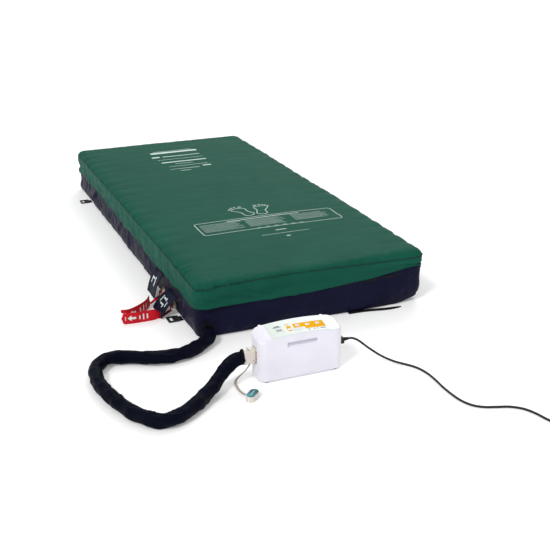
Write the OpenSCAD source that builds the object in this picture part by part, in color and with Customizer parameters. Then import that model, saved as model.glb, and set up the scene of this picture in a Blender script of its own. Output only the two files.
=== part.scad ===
// Alternating-pressure mattress with its pump, air hose and mains lead.
// Frame: origin on the floor under the middle of the mattress, +X towards
// its right side, +Y towards the head end, +Z up. Millimetres.

/* [Mattress] */
// Length from foot to head
mat_l = 2000; // [1960:10:2100]
// Width over the top cover
mat_w = 880; // [860:5:900]
// Height over the top cover
mat_h = 205; // [200:1:215]
// Thickness of the cover cloth with its seams
cloth = 1.5; // [1:0.5:2]
// Height of the base cover up to the zip
base_h = 108; // [104:1:112]
// Lower edge of the top cover's skirt
skirt_z = 100; // [98:1:104]
// Corner radius of the top cover in plan
corner_r = 40; // [30:1:60]

/* [Air cells] */
// Number of cross cells
cell_count = 20; // [20]
// Number of static cells at the head end
pillow_count = 3; // [3]
// Thickness of the cell film
film = 1; // [0.8:0.1:1.5]
// Number of long tubes in the static air base
base_tubes = 8; // [6:1:8]

/* [Pump] */
// Width of the pump case
pump_w = 284; // [280:1:300]
// Depth of the pump case
pump_d = 92; // [90:1:100]
// Height of the case at the middle of its sloping top
pump_h = 156; // [150:1:165]
// Corner radius of the case in plan
pump_r = 28; // [24:1:30]
// Wall of the case
pump_wall = 2.5; // [2:0.5:3]
// Tilt of the control panel in degrees
panel_tilt = 11; // [9:0.5:13]
// Radius of the arch along the panel
panel_arch = 950; // [800:10:1200]

/* [Hose and lead] */
// Diameter of the hose sleeve
hose_d = 46; // [40:1:50]
// Diameter of the mains lead
lead_d = 7; // [6:0.5:8]
// Mean diameter of the coiled lead
coil_d = 84; // [70:1:90]

/* [Hidden] */
$fn = 48;

navy = [0.12, 0.12, 0.20];
green = [0.13, 0.35, 0.29];
black = [0.03, 0.03, 0.04];
red = [0.80, 0.08, 0.14];
beige = [0.80, 0.77, 0.72];
teal = [0.03, 0.30, 0.38];
shell_white = [0.93, 0.93, 0.96];
clear_film = [0.75, 0.80, 0.86];

// ---- mattress dimensions ----
left_x = -mat_w / 2;
foot_y = -mat_l / 2;
base_w = mat_w - 12;
base_l = mat_l - 12;
base_r = corner_r - 10;
base_x = base_w / 2;
pitch = (base_l - 18) / cell_count;
cell_w = pitch - 1;
cell_z = 80;
cell_h = mat_h - cell_z - 4;
cell_x0 = left_x + 55;
cell_x1 = mat_w / 2 - 20;
cell_y0 = foot_y + 15;
tube_x0 = left_x + 52;
tube_y0 = foot_y + 65;
tube_pitch = (cell_x1 - tube_x0) / base_tubes;
tube_h = cell_z - 5;
nozzle_r = 5;
nozzle_bore = 3.2;
line_r = 6;
line_bore = 4;
static_r = 3.2;
static_bore = 1.8;
line_a = [left_x + 26, 100];
line_b = [left_x + 42, 124];
line_s = [left_x + 15, 112];
boot_x = left_x + 34;
boot_z = 31;
boot_r = 25;
boot_bore = 20;
zip_z = base_h + 2;
zip_h = 10;
last_live = cell_count - pillow_count - 1;
a_cells = [for (i = [0:2:last_live]) i];
b_cells = [for (i = [1:2:last_live]) i];
pillows = [for (i = [last_live + 1:cell_count - 1]) i];
stub = 8;
out_a = [boot_x - 8, boot_z + 7];
out_b = [boot_x + 8, boot_z + 7];
out_s = [boot_x, boot_z - 9];
legs_y = foot_y + 40;
static_leg_y = foot_y + 60;

// ---- resuscitation valves in the left side ----
cpr_front_y = foot_y + 280;
cpr_rear_y = foot_y + 425;
cpr_z = 18;
cpr_r = 11;
cpr_bore = 8;
cpr_mouth_x = left_x - 6;
plug_play = 0.05;
plug_l = 16;
head_r = 5;
tag_h = 42;
flap_x = left_x + 4;
tag_t = 1.2;
strap_ends = [[-1, foot_y + 195], [-1, -foot_y - 267], [1, foot_y + 195], [1, -foot_y - 267]];

// ---- pump dimensions; the pump's own frame is centred under its case ----
pump_x = left_x + 222;
pump_y = foot_y - 332;
foot_h = 3;
port_z = 83;
iec_z = 79;
rocker_z = 118;
split_y = 20;
panel_t = 1;
key_t = 1.6;
key_gap = 0.2;
key_size = [12, 9];
key_spots = [[-29, 8], [-29, -13], [1, 0], [34, -2], [68, -2]];
port_x = -pump_w / 2 - 2;
port_r = 4.5;
port_spots = [-14, 0, 14];
connector_l = 36;
hinge_x = 105;
hinge_y = pump_d / 2 + 6;
hinge_z0 = 100;
hinge_z1 = 145;
filter_spot = [60, 60];
recess_z = [106, 126];
recess_w = 101;
screw_spots = [[-118, 22], [118, 22], [-118, 120], [118, 120]];
post_y = 10;
valve_x = -pump_w / 2 + 30;
comp_z = 14;
comp = [116, 52, 54];
comp_x = -8;
rocker_x = pump_w / 2 - 8;

// ---- routes, as round numbers; each is relative to the corner or the pump ----
hose_route = [
    [34, -12, 31], [33, -28, 29], [21, -50, 26], [0, -71, 24],
    [-28, -92, 23.5], [-62, -111, 23.5], [-100, -124, 23.5], [-145, -125, 23.5],
    [-190, -113, 23.5], [-232, -92, 23.5], [-275, -69, 23.5], [-315, -64, 23.5],
    [-352, -84, 23.5], [-374, -125, 23.5], [-382, -175, 23.5], [-380, -240, 23.5],
    [-370, -305, 23.5], [-350, -378, 23.5], [-324, -442, 23.5], [-292, -490, 23.5],
    [-254, -508, 23.5], [-212, -497, 23.5], [-160, -463, 24], [-105, -415, 26],
    [-62, -374, 36], [-24, -347, 55], [10, -334, 74], [42, -332, 83]
];
tether_route = [
    [66, -332, 57], [58, -332, 45], [47, -329, 30], [33, -325, 16],
    [20, -328, 7], [12, -342, 4.5], [8, -362, 4.5], [6, -385, 4.5],
    [8, -410, 5], [12, -426, 6.5], [17.5, -436.5, 8]
];
lead_route = [
    [402, -332, 79], [418, -333, 77], [436, -343, 68], [462, -360, 46],
    [496, -384, 22], [530, -408, 7], [560, -440, 3.6], [580, -475, 3.6],
    [589, -520, 3.6], [589, -565, 3.6], [586, -610, 3.6], [586, -655, 3.6],
    [590, -700, 3.6], [604, -738, 3.6], [630, -763, 3.6], [666, -778, 3.6],
    [702, -792, 3.6], [732, -818, 3.6], [748, -853, 3.6], [756, -888, 3.6],
    [765, -917, 3.6], [772.5, -945, 3.6]
];
tail_route = [
    [877.5, -945, 3.6], [878, -930, 3.6], [883, -912, 4.5], [892, -896, 6.5], [898, -884, 8]
];
coil_turns = [4, 3];
coil_c = [left_x + 825 + (coil_d - 84) / 2, foot_y - 945];
plug_c = [left_x + 898, foot_y - 834];
cap_spot = [left_x + 28, foot_y - 447];

// ---- shared shapes ----
module round_rect(w, l, r) {
    square([w - 2 * r, l], center = true);
    square([w, l - 2 * r], center = true);
    for (x = [-1, 1], y = [-1, 1])
        translate([x * (w / 2 - r), y * (l / 2 - r)]) circle(r);
}

module block(w, l, r, z0, z1) {
    translate([0, 0, z0]) linear_extrude(z1 - z0) round_rect(w, l, r);
}

module rod_x(x0, x1, r) {
    translate([x0, 0, 0]) rotate([0, 90, 0]) cylinder(h = x1 - x0, r = r);
}

module rod_y(y0, y1, r) {
    translate([0, y1, 0]) rotate([90, 0, 0]) cylinder(h = y1 - y0, r = r);
}

// The pump's pieces are drawn in its own frame
module at_pump() {
    translate([pump_x, pump_y, 0]) children();
}

// A place on the arched, sloping control panel; z = 0 is the case's surface
module on_panel(spot) {
    translate([0, 0, pump_h]) rotate([panel_tilt, 0, 0])
        translate([0, spot[1], -panel_arch])
            rotate([0, asin(spot[0] / panel_arch), 0])
                translate([0, 0, panel_arch]) children();
}

// The big cylinder that forms the case's arched top, grown by d
module under_arch(d) {
    translate([0, 0, pump_h]) rotate([panel_tilt, 0, 0])
        translate([0, 0, -panel_arch]) rod_y(-120, 120, panel_arch + d, $fn = 360);
}

// ---- cords: one tube swept along a route ----
function unit(v) = v / norm(v);
function heading(p, i) =
    unit(p[min(i + 1, len(p) - 1)] - p[max(i - 1, 0)]);
function level_side(t) = unit([t[1], -t[0], 0]);
function ring(p, i, w, h, n) =
    let (t = heading(p, i), s = level_side(t), u = cross(s, t))
    [for (k = [0:n - 1]) p[i] + s * (w / 2 * cos(360 * k / n)) + u * (h / 2 * sin(360 * k / n))];
function midway(p, i, f) =
    let (a = p[max(i - 1, 0)], b = p[i], c = p[i + 1], d = p[min(i + 2, len(p) - 1)])
    ((2 * b) + (c - a) * f + (2 * a - 5 * b + 4 * c - d) * f * f
        + (3 * b - a - 3 * c + d) * f * f * f) / 2;
function finer(p, k) =
    concat([for (i = [0:len(p) - 2], j = [0:k - 1]) midway(p, i, j / k)], [p[len(p) - 1]]);

module swept(p, w, h, n) {
    rings = len(p);
    points = [for (i = [0:rings - 1]) each ring(p, i, w, h, n)];
    near = [for (i = [0:rings - 2], k = [0:n - 1]) [i * n + k, i * n + (k + 1) % n, (i + 1) * n + k]];
    far = [for (i = [0:rings - 2], k = [0:n - 1])
        [i * n + (k + 1) % n, (i + 1) * n + (k + 1) % n, (i + 1) * n + k]];
    first = [for (k = [1:n - 2]) [0, k + 1, k]];
    last = [for (k = [1:n - 2]) (rings - 1) * n * [1, 1, 1] + [0, k, k + 1]];
    polyhedron(points, concat(near, far, first, last), convexity = 6);
}

module from_corner() {
    translate([left_x, foot_y, 0]) children();
}

// ---- mattress covers ----
module base_cover() {
    color(navy) difference() {
        block(base_w, base_l, base_r, 0, base_h);
        block(base_w - 2 * cloth, base_l - 2 * cloth, base_r - cloth, cloth, base_h + 1);
        translate([boot_x, 0, boot_z]) rod_y(foot_y - 10, foot_y + 40, boot_r);
        for (y = [cpr_front_y, cpr_rear_y])
            translate([0, y, cpr_z]) rod_x(left_x - 10, left_x + 12, cpr_r);
    }
}

module top_cover() {
    color(green) {
        difference() {
            block(mat_w, mat_l, corner_r, skirt_z, mat_h);
            block(mat_w - 2 * cloth, mat_l - 2 * cloth, corner_r - cloth, skirt_z - 1, mat_h - cloth);
        }
        // inner band that the zip tape is sewn to
        difference() {
            block(mat_w - 2 * cloth, mat_l - 2 * cloth, corner_r - cloth, zip_z + zip_h, zip_z + zip_h + 3);
            block(base_w - 2 * cloth, base_l - 2 * cloth, base_r - cloth, zip_z, zip_z + zip_h + 4);
        }
    }
}

module zip_chain() {
    color(black) difference() {
        block(base_w, base_l, base_r, base_h, zip_z + zip_h);
        block(base_w - 2 * cloth, base_l - 2 * cloth, base_r - cloth, base_h - 1, zip_z + zip_h + 1);
    }
}

module zip_slider() {
    slider = [3.4, 9, 9.5];
    pull = [1.2, 5, 14];
    color("silver") translate([-base_x, foot_y + 110, 0]) {
        translate([-slider[0] - 0.2, -slider[1] / 2, zip_z]) cube(slider);
        translate([-slider[0] - 0.2, -pull[1] / 2, zip_z - 7]) cube(pull);
    }
}

// ---- air system in the mattress ----
module long_tube(w, h, r, l) {
    translate([0, l, h / 2]) rotate([90, 0, 0]) linear_extrude(l) round_rect(w, h, r);
}

module static_air_base() {
    l = mat_l - 95;
    color(clear_film) for (i = [0:base_tubes - 1])
        translate([tube_x0 + tube_pitch * (i + 0.5), tube_y0, 2.5]) difference() {
            long_tube(tube_pitch - 1, tube_h, 34, l);
            translate([0, film, film]) long_tube(tube_pitch - 1 - 2 * film, tube_h - 2 * film, 33, l - 2 * film);
        }
}

module cell_sheet() {
    end_gap = 12;
    color("lightgray") translate([tube_x0, cell_y0 + end_gap, cell_z - 2])
        cube([cell_x1 - tube_x0, pitch * cell_count - 2 * end_gap, 1]);
}

// One cross cell with its nozzle towards its air line
module cell(i, line, r, bore, reach) {
    l = cell_x1 - cell_x0;
    translate([cell_x0, cell_y0 + pitch * (i + 0.5), 0]) difference() {
        union() {
            translate([0, 0, cell_z + cell_h / 2]) rotate([90, 0, 90])
                linear_extrude(l) round_rect(cell_w, cell_h, 42);
            translate([0, 0, line[1]]) rod_x(line[0] + reach - cell_x0, 1, r);
        }
        translate([film, 0, cell_z + cell_h / 2]) rotate([90, 0, 90])
            linear_extrude(l - 2 * film) round_rect(cell_w - 2 * film, cell_h - 2 * film, 42 - film);
        translate([0, 0, line[1]]) rod_x(line[0] + reach - cell_x0 - 1, 5, bore);
    }
}

module cells_a() {
    color(clear_film) for (i = a_cells) cell(i, line_a, nozzle_r, nozzle_bore, stub);
}

module cells_b() {
    color(clear_film) for (i = b_cells) cell(i, line_b, nozzle_r, nozzle_bore, stub);
}

module pillow_cells() {
    color(clear_film) for (i = pillows) cell(i, line_s, static_r, static_bore, stub - 3);
}

// An air line: along the cells, down at the foot end, and out into the boot
module line_shape(line, r, cells, stub_l, stub_r, down_y, out) {
    end_y = cell_y0 + pitch * (cells[len(cells) - 1] + 0.5) + 15;
    translate([line[0], 0, line[1]]) rod_y(down_y - r, end_y, r);
    for (i = cells)
        translate([line[0], cell_y0 + pitch * (i + 0.5), line[1]]) rod_x(0, stub_l, stub_r);
    translate([line[0], down_y, out[1] - r + 1]) cylinder(h = line[1] - out[1] + r - 1, r = r - 0.5);
    if (abs(line[0] - out[0]) > r)
        translate([0, down_y, out[1]]) rod_x(min(line[0], out[0]) - r / 2, max(line[0], out[0]) + r / 2, r);
    translate([out[0], 0, out[1]]) rod_y(foot_y - 11, down_y, r);
}

// The branch that feeds a resuscitation valve
module valve_branch(line, y, r) {
    translate([line[0], y, cpr_z + 14]) cylinder(h = line[1] - cpr_z - 14, r = r);
}

module manifold_a() {
    color("whitesmoke") difference() {
        union() {
            line_shape(line_a, line_r, a_cells, stub, nozzle_r, legs_y, out_a);
            valve_branch(line_a, cpr_front_y, nozzle_r);
        }
        translate([line_a[0], 0, line_a[1]]) rod_y(legs_y, foot_y + mat_l - 300, line_bore - 1);
        translate([out_a[0], 0, out_a[1]]) rod_y(foot_y - 12, legs_y, line_bore);
    }
}

module manifold_b() {
    color("whitesmoke") difference() {
        union() {
            line_shape(line_b, line_r, b_cells, stub, nozzle_r, legs_y, out_b);
            valve_branch(line_b, cpr_rear_y, nozzle_r);
        }
        translate([line_b[0], 0, line_b[1]]) rod_y(legs_y, foot_y + mat_l - 300, line_bore - 1);
        translate([out_b[0], 0, out_b[1]]) rod_y(foot_y - 12, legs_y, line_bore);
    }
}

module static_line() {
    color("whitesmoke") difference() {
        line_shape(line_s, static_r, pillows, stub - 3, static_r, static_leg_y, out_s);
        translate([out_s[0], 0, out_s[1]]) rod_y(foot_y - 12, static_leg_y, static_bore);
    }
}

module hose_boot() {
    color(black) translate([boot_x, 0, boot_z]) difference() {
        union() {
            rod_y(foot_y - 12, foot_y + 26, boot_r);
            rod_y(foot_y - 2, foot_y + 6, boot_r + 4);
        }
        rod_y(foot_y - 13, foot_y + 27, boot_bore);
    }
}

// ---- resuscitation valves ----
module cpr_valve(y, inner_x) {
    color("ivory") translate([0, y, cpr_z]) difference() {
        union() {
            rod_x(cpr_mouth_x, inner_x + 6, cpr_r);
            rod_x(-base_x - 3, -base_x, cpr_r + 4);
            translate([inner_x, 0, 0]) cylinder(h = 14, r = nozzle_r + 1);
        }
        rod_x(cpr_mouth_x - 1, inner_x, cpr_bore);
        translate([inner_x, 0, 0]) cylinder(h = 15, r = nozzle_bore);
    }
}

module cpr_plug(y) {
    color(red) translate([0, y, cpr_z]) {
        rod_x(cpr_mouth_x - 1, cpr_mouth_x + plug_l, cpr_bore - plug_play);
        rod_x(cpr_mouth_x - 2, cpr_mouth_x - 0.3, cpr_r - 1);
        rod_x(cpr_mouth_x - 6, cpr_mouth_x - 1, head_r);
    }
}

// A stiff ribbon standing on its edge along a few points
module ribbon(p, h) {
    side = [for (i = [0:len(p) - 1]) level_side(concat(heading(p, i), [0])) * tag_t / 2];
    left = [for (i = [0:len(p) - 1]) p[i] + [side[i][0], side[i][1]]];
    right = [for (i = [len(p) - 1:-1:0]) p[i] - [side[i][0], side[i][1]]];
    translate([0, 0, 0.4]) linear_extrude(h) polygon(concat(left, right));
}

// The tag's flat root runs under the flap from the plug to the ribbon
module tag(root_y, p) {
    root = [cpr_mouth_x - 6, root_y];
    along = unit(p[0] - root);
    across = [-along[1], along[0]] * 7;
    tip = p[0] + along * 3;
    color(red) {
        translate([root[0] - tag_t, root_y - 7, 0.4]) cube([tag_t, 14, cpr_z + 2]);
        translate([0, 0, 0.4]) linear_extrude(tag_t)
            polygon([root + [0, -7], root + [0, 7], tip - across, tip + across]);
        ribbon(p, tag_h);
    }
}

module cpr_valve_front() { cpr_valve(cpr_front_y, line_a[0]); }
module cpr_valve_rear() { cpr_valve(cpr_rear_y, line_b[0]); }
module cpr_plug_front() { cpr_plug(cpr_front_y); }
module cpr_plug_rear() { cpr_plug(cpr_rear_y); }

module cpr_tag_front() {
    tag(cpr_front_y, [for (q = [[-65, 226], [-100, 219], [-160, 219], [-204, 224]]) [left_x, foot_y] + q]);
}

module cpr_tag_rear() {
    tag(cpr_rear_y, [for (q = [[-64, 372], [-74, 345], [-94, 314], [-130, 278], [-172, 256], [-200, 259]])
        [left_x, foot_y] + q]);
}

// A cloth flap hinged at its top edge and hanging to the floor
module flap(y0, y1, top_z, knee, hem) {
    color(navy) translate([0, y1, 0]) rotate([90, 0, 0]) linear_extrude(y1 - y0)
        polygon([[flap_x - 0.5, top_z], [flap_x + 1, top_z - 1.2], [knee[0] + 1.5, knee[1] - 1],
                 [hem, 2.6], [hem - 1.6, 2.6], knee]);
    color(navy) translate([flap_x, 0, top_z - 0.6]) rod_y(y0, y1, 1.2);
}

module cpr_flap_front() { flap(foot_y + 228, foot_y + 332, 66, [flap_x - 40, 42], flap_x - 57); }
module cpr_flap_rear() { flap(foot_y + 400, foot_y + 500, 95, [flap_x - 34, 60], flap_x - 42); }

// ---- straps that tie the mattress to the bed ----

module side_straps() {
    color(black) for (s = strap_ends)
        translate([s[0] > 0 ? base_x : -base_x - 22, s[1] - 19, 0.4]) cube([22, 38, 1.6]);
}

module strap_buckles() {
    color(black) for (s = strap_ends)
        translate([s[0] * (base_x + 34), s[1], 0.4]) difference() {
            block(44, 46, 6, 0, 5);
            translate([-s[0] * 14, 0, 0]) block(22, 39, 2, -1, 1.8);
            translate([s[0] * 8, 0, 0]) block(12, 34, 3, -1, 6);
        }
}

module foot_strap() {
    color(black) translate([0, foot_y + 6, 0.4]) linear_extrude(1.6)
        polygon([[-left_x - 330, 0], [-left_x - 230, 0], [-left_x - 165, -14],
                 [-left_x - 103, -27], [-left_x - 170, -38], [-left_x - 245, -22]]);
}

// ---- hose, connector and transport cap ----
module hose_sleeve() {
    color(navy) from_corner() swept(hose_route, hose_d, hose_d, 12);
}

module hose_connector() {
    color(beige) at_pump() translate([0, 0, port_z]) difference() {
        translate([port_x - connector_l, 0, 0]) rotate([90, 0, 90])
            linear_extrude(connector_l) round_rect(30, 52, 12);
        for (z = port_spots) translate([0, 0, z]) {
            rod_x(port_x - 17.5, port_x + 1, port_r + 0.1);
            rod_x(port_x - connector_l - 1, port_x, static_r);
        }
    }
}

module cap_tether() {
    color(beige) from_corner() swept(tether_route, 8, 2, 8);
}

module transport_cap() {
    color(beige) translate(cap_spot) rotate(45) difference() {
        block(54, 30, 14.9, 0.4, 17.5);
        block(49, 25, 12.4, -1, 14);
    }
}

module cap_plate() {
    color(teal) translate(cap_spot) rotate(45) block(50, 26, 12.9, 17.5, 19);
}

// ---- pump case ----
module case_solid(d) {
    intersection() {
        block(pump_w + 2 * d, pump_d + 2 * d, pump_r + d, foot_h - d, pump_h + 40);
        under_arch(d);
    }
}

module recess_outline(d) {
    translate([-recess_w / 2 - d, 0, 0]) rotate([90, 0, 90]) linear_extrude(recess_w + 2 * d)
        polygon([[-pump_d / 2 - 2, recess_z[0] - d], [-pump_d / 2 + 20 + d, recess_z[0] + 8 - d],
                 [-pump_d / 2 + 20 + d, recess_z[1] + d], [-pump_d / 2 - 2, recess_z[1] + d]]);
}

module key_holes() {
    for (k = key_spots) on_panel(k) translate([0, 0, -12]) cylinder(h = 14, r = 2.3);
}

module pump_case_front() {
    color(shell_white) at_pump() difference() {
        union() {
            difference() {
                case_solid(0);
                case_solid(-pump_wall);
            }
            intersection() {
                recess_outline(pump_wall);
                translate([-80, -pump_d / 2 + 1, 60]) cube([160, 40, 100]);
            }
            screw_posts(post_y, split_y);
            for (p = screw_spots)
                translate([p[0] > 0 ? p[0] : p[0] - 22, post_y, p[1] - 1.5]) cube([22, split_y - post_y, 3]);
        }
        for (p = screw_spots) translate([p[0], 0, p[1]]) rod_y(post_y + 2, split_y + 1, 1.75);
        translate([-200, split_y, -1]) cube([400, 100, 220]);
        recess_outline(0);
        key_holes();
        translate([port_x, 0, port_z]) rotate([90, 0, 90]) linear_extrude(12) round_rect(24, 46, 8);
        translate([pump_w / 2 - 5, 0, iec_z]) rotate([90, 0, 90]) linear_extrude(8) round_rect(32, 26, 3);
        translate([pump_w / 2 - 5, -8, rocker_z - 11.5]) cube([8, 16, 23]);
        on_panel([-62, -7]) translate([-9, -5, -5]) cube([18, 10, 10]);
    }
}

module screw_posts(y0, y1) {
    for (p = screw_spots) translate([p[0], 0, p[1]]) rod_y(y0, y1, 4.5);
}

module hook_lugs() {
    for (s = [-1, 1], z = [hinge_z0 - 8, hinge_z1 + 0.4])
        translate([s * hinge_x, hinge_y, z]) difference() {
            union() {
                cylinder(h = 7.6, r = 5);
                translate([-5, -8, 0]) cube([10, 8, 7.6]);
            }
            translate([0, 0, -1]) cylinder(h = 10, r = 2.56);
        }
}

module pump_case_back() {
    color(shell_white) at_pump() {
        difference() {
            union() {
                difference() {
                    case_solid(0);
                    case_solid(-pump_wall);
                }
                screw_posts(split_y, pump_d / 2 - 1);
            }
            translate([-200, -100, -1]) cube([400, 100 + split_y, 220]);
            translate([filter_spot[0] - 17, pump_d / 2 - 4, filter_spot[1] - 17]) cube([34, 6, 34]);
            for (p = screw_spots) translate([p[0], 0, p[1]]) rod_y(split_y - 1, pump_d / 2 + 1, 1.8);
        }
        hook_lugs();
    }
}

module case_screws() {
    color("gray") at_pump() for (p = screw_spots) translate([p[0], 0, p[1]]) {
        rod_y(post_y + 3, pump_d / 2 + 0.2, 1.7);
        rod_y(pump_d / 2, pump_d / 2 + 1.8, 3.4);
    }
}

module pump_feet() {
    color(black) at_pump() for (x = [-115, 115], y = [-32, 32])
        translate([x, y, 0]) cylinder(h = foot_h, r = 8);
}

// ---- control panel ----
module control_panel() {
    color([0.89, 0.93, 0.91]) at_pump() difference() {
        intersection() {
            block(194, 76, 5, 120, 200);
            difference() {
                under_arch(panel_t);
                under_arch(0);
            }
        }
        for (k = key_spots) on_panel(k) translate([0, 0, -3]) linear_extrude(8)
            round_rect(key_size[0] + 0.5, key_size[1] + 0.5, 2.2);
        on_panel([-62, -7]) translate([-10, -6, -3]) cube([20, 12, 8]);
    }
}

module display_window() {
    color([0.35, 0.40, 0.42]) at_pump() on_panel([-62, -7])
        translate([-9.8, -5.8, 0.1]) cube([19.6, 11.6, 0.8]);
}

module key(i) {
    color("white") at_pump() on_panel(key_spots[i]) {
        translate([0, 0, key_gap + 0.6]) linear_extrude(key_t - 0.6) round_rect(key_size[0], key_size[1], 2);
        translate([0, 0, -4.2]) cylinder(h = 5.5, r = 2);
    }
}

module key_up() { key(0); }
module key_down() { key(1); }
module key_mode() { key(2); }
module key_static() { key(3); }
module key_alarm() { key(4); }

module circuit_board() {
    color("darkgreen") at_pump() {
        translate([0, 0, pump_h]) rotate([panel_tilt, 0, 0]) translate([-75, -22, -13.4]) cube([150, 40, 1.6]);
        for (k = key_spots) on_panel(k) translate([-3, -3, -12.2]) cube([6, 6, 7.2]);
        translate([62, -2, 12]) cube([1.6, 30, 74]);
        translate([63.6, 2, 30]) cube([22, 20, 26]);
    }
}

// ---- air side of the pump ----
module air_port() {
    color("gainsboro") at_pump() translate([0, 0, port_z]) difference() {
        union() {
            translate([port_x + 2, 0, 0]) rotate([90, 0, 90]) linear_extrude(2.5) round_rect(24, 46, 8);
            translate([port_x + 4.5, 0, 0]) rotate([90, 0, 90]) linear_extrude(3) round_rect(30, 54, 8);
            translate([port_x + 0.3, 0, 0]) rotate([90, 0, 90]) linear_extrude(1.7) round_rect(24, 46, 8);
            for (z = port_spots) translate([0, 0, z]) rod_x(port_x - 14, port_x + 14, port_r);
        }
        for (z = port_spots) translate([0, 0, z]) rod_x(port_x - 15, port_x + 15, port_r - 1.5);
    }
}

module inner_tubes() {
    color("whitesmoke") at_pump() {
        for (z = port_spots) translate([0, 0, port_z + z]) difference() {
            rod_x(port_x + 14, valve_x, port_r);
            rod_x(port_x + 13, valve_x + 1, port_r - 1.5);
        }
        translate([valve_x + 6, 0, 0]) difference() {
            translate([0, 0, 45]) cylinder(h = port_z - 19 - 45, r = 4);
            translate([0, 0, 44]) cylinder(h = 30, r = 2.5);
        }
        translate([0, 0, 41]) rod_x(valve_x + 2, comp_x - comp[0] / 2, 4);
    }
}

module valve_body() {
    color("ivory") at_pump() translate([0, 0, port_z]) difference() {
        rod_x(valve_x, valve_x + 12, 19);
        rod_x(valve_x + 6, valve_x + 13, 16);
        for (z = port_spots) translate([0, 0, z]) rod_x(valve_x - 1, valve_x + 7, 1.7);
    }
}

module valve_disc() {
    color("white") at_pump() translate([0, 0, port_z]) {
        difference() {
            rod_x(valve_x + 6.3, valve_x + 10, 15.5);
            translate([0, 8, 8]) rod_x(valve_x, valve_x + 12, 2);
        }
        rod_x(valve_x + 9, valve_x + 24, 2);
    }
}

module valve_motor() {
    color("silver") at_pump() translate([0, 0, port_z]) difference() {
        rod_x(valve_x + 12.4, valve_x + 27, 20);
        rod_x(valve_x + 12, valve_x + 25, 2.05);
    }
}

module compressor_housing() {
    color("dimgray") at_pump() translate([comp_x, 0, comp_z]) difference() {
        translate([-comp[0] / 2, -comp[1] / 2, 0]) cube(comp);
        translate([-comp[0] / 2 + 14, -comp[1] / 2 + 6, 8]) cube([comp[0] - 28, comp[1] - 12, comp[2]]);
        translate([0, 0, 27]) rod_x(-comp[0] / 2 + 4, comp[0] / 2 - 4, 12);
    }
}

module compressor_armature() {
    color("steelblue") at_pump() translate([comp_x, 0, comp_z + 27]) {
        rod_x(-48, 48, 4);
        for (s = [-1, 1]) translate([s * 47, 0, 0]) rod_x(-1.5, 1.5, 11);
        translate([-16, -9, -8]) cube([32, 18, 16]);
    }
}

module compressor_mounts() {
    color(black) at_pump() for (x = [-48, 48], y = [-20, 20])
        translate([comp_x + x, y, foot_h + pump_wall]) cylinder(h = comp_z - foot_h - pump_wall, r = 5);
}

// ---- mains side of the pump ----
module mains_inlet() {
    color(black) at_pump() translate([0, 0, iec_z]) {
        difference() {
            union() {
                translate([pump_w / 2 - 22, 0, 0]) rotate([90, 0, 90]) linear_extrude(22) round_rect(31, 25, 3);
                translate([pump_w / 2, 0, 0]) rotate([90, 0, 90]) linear_extrude(1.5) round_rect(36, 30, 3);
            }
            translate([pump_w / 2 - 19, 0, 0]) rotate([90, 0, 90]) linear_extrude(30) round_rect(26, 20, 2);
        }
        for (p = [[-7, -2], [7, -2], [0, 3]])
            translate([pump_w / 2 - 20, p[0] - 1, p[1] - 2]) cube([15, 2, 4]);
    }
}

module power_rocker() {
    color(black) at_pump() translate([rocker_x, 0, rocker_z]) {
        rotate([90, 0, 0]) translate([0, 0, -7]) linear_extrude(14)
            polygon([[6.5, -8.4], [8.2, 0], [9.8, 8], [-2, 7], [-4, 0], [-2, -7]]);
        rod_y(-8.8, 8.8, 1.2);
    }
}

module switch_body() {
    color(black) at_pump() translate([rocker_x, 0, rocker_z]) difference() {
        translate([-14, -9.5, -12]) cube([19.4, 19, 24]);
        translate([-9, -7.6, -11]) cube([20, 15.2, 22]);
        rod_y(-9, 9, 1.25);
    }
}

module filter_cover() {
    color(shell_white) at_pump() translate([filter_spot[0], 0, filter_spot[1]]) difference() {
        union() {
            translate([-16.7, pump_d / 2 - 3, -16.7]) cube([33.4, 3.2, 33.4]);
            translate([-20, pump_d / 2 + 0.1, -20]) cube([40, 2, 40]);
        }
        for (z = [-12:6:12]) translate([-13, pump_d / 2 - 5, z - 1.2]) cube([26, 9, 2.4]);
    }
}

module air_filter() {
    color("gray") at_pump() translate([filter_spot[0] - 16, pump_d / 2 - 11, filter_spot[1] - 16]) cube([32, 7.5, 32]);
}

// A fold-out hook: barrel on a vertical pin, arm along the case, lip down
module hook(s) {
    color(shell_white) at_pump() translate([s * hinge_x, hinge_y, 0]) {
        translate([0, 0, hinge_z0]) cylinder(h = hinge_z1 - hinge_z0, r = 4.5);
        translate([0, 0, hinge_z0 - 7]) cylinder(h = hinge_z1 - hinge_z0 + 14, r = 2.5);
        mirror([s > 0 ? 1 : 0, 0, 0]) translate([0, 2, 0]) rotate([90, 0, 0]) linear_extrude(4) {
            translate([0, hinge_z1 - 16]) square([62, 14]);
            translate([50, hinge_z1 - 56]) square([16, 50]);
            translate([62, hinge_z1 - 6]) circle(4);
            translate([62, hinge_z1 - 12]) square([4, 6]);
            translate([0, hinge_z0 + 2]) square([10, hinge_z1 - hinge_z0 - 4]);
        }
    }
}

module hook_left() { hook(-1); }
module hook_right() { hook(1); }

// ---- mains lead ----
module iec_connector() {
    color(black) at_pump() translate([0, 0, iec_z]) difference() {
        union() {
            translate([pump_w / 2 - 16, 0, 0]) rotate([90, 0, 90]) linear_extrude(34) round_rect(25, 19, 2);
            translate([pump_w / 2 + 18, 0, 0]) rotate([0, 90, 0]) cylinder(h = 20, r1 = 7, r2 = lead_d / 2 + 0.6);
        }
        for (p = [[-7, -2], [7, -2], [0, 3]])
            translate([pump_w / 2 - 17, p[0] - 1.4, p[1] - 2.4]) cube([13, 2.8, 4.8]);
    }
}

module mains_cord() {
    color(black) from_corner() {
        swept(finer(lead_route, 2), lead_d, lead_d, 8);
        swept(tail_route, lead_d, lead_d, 8);
    }
}

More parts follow.
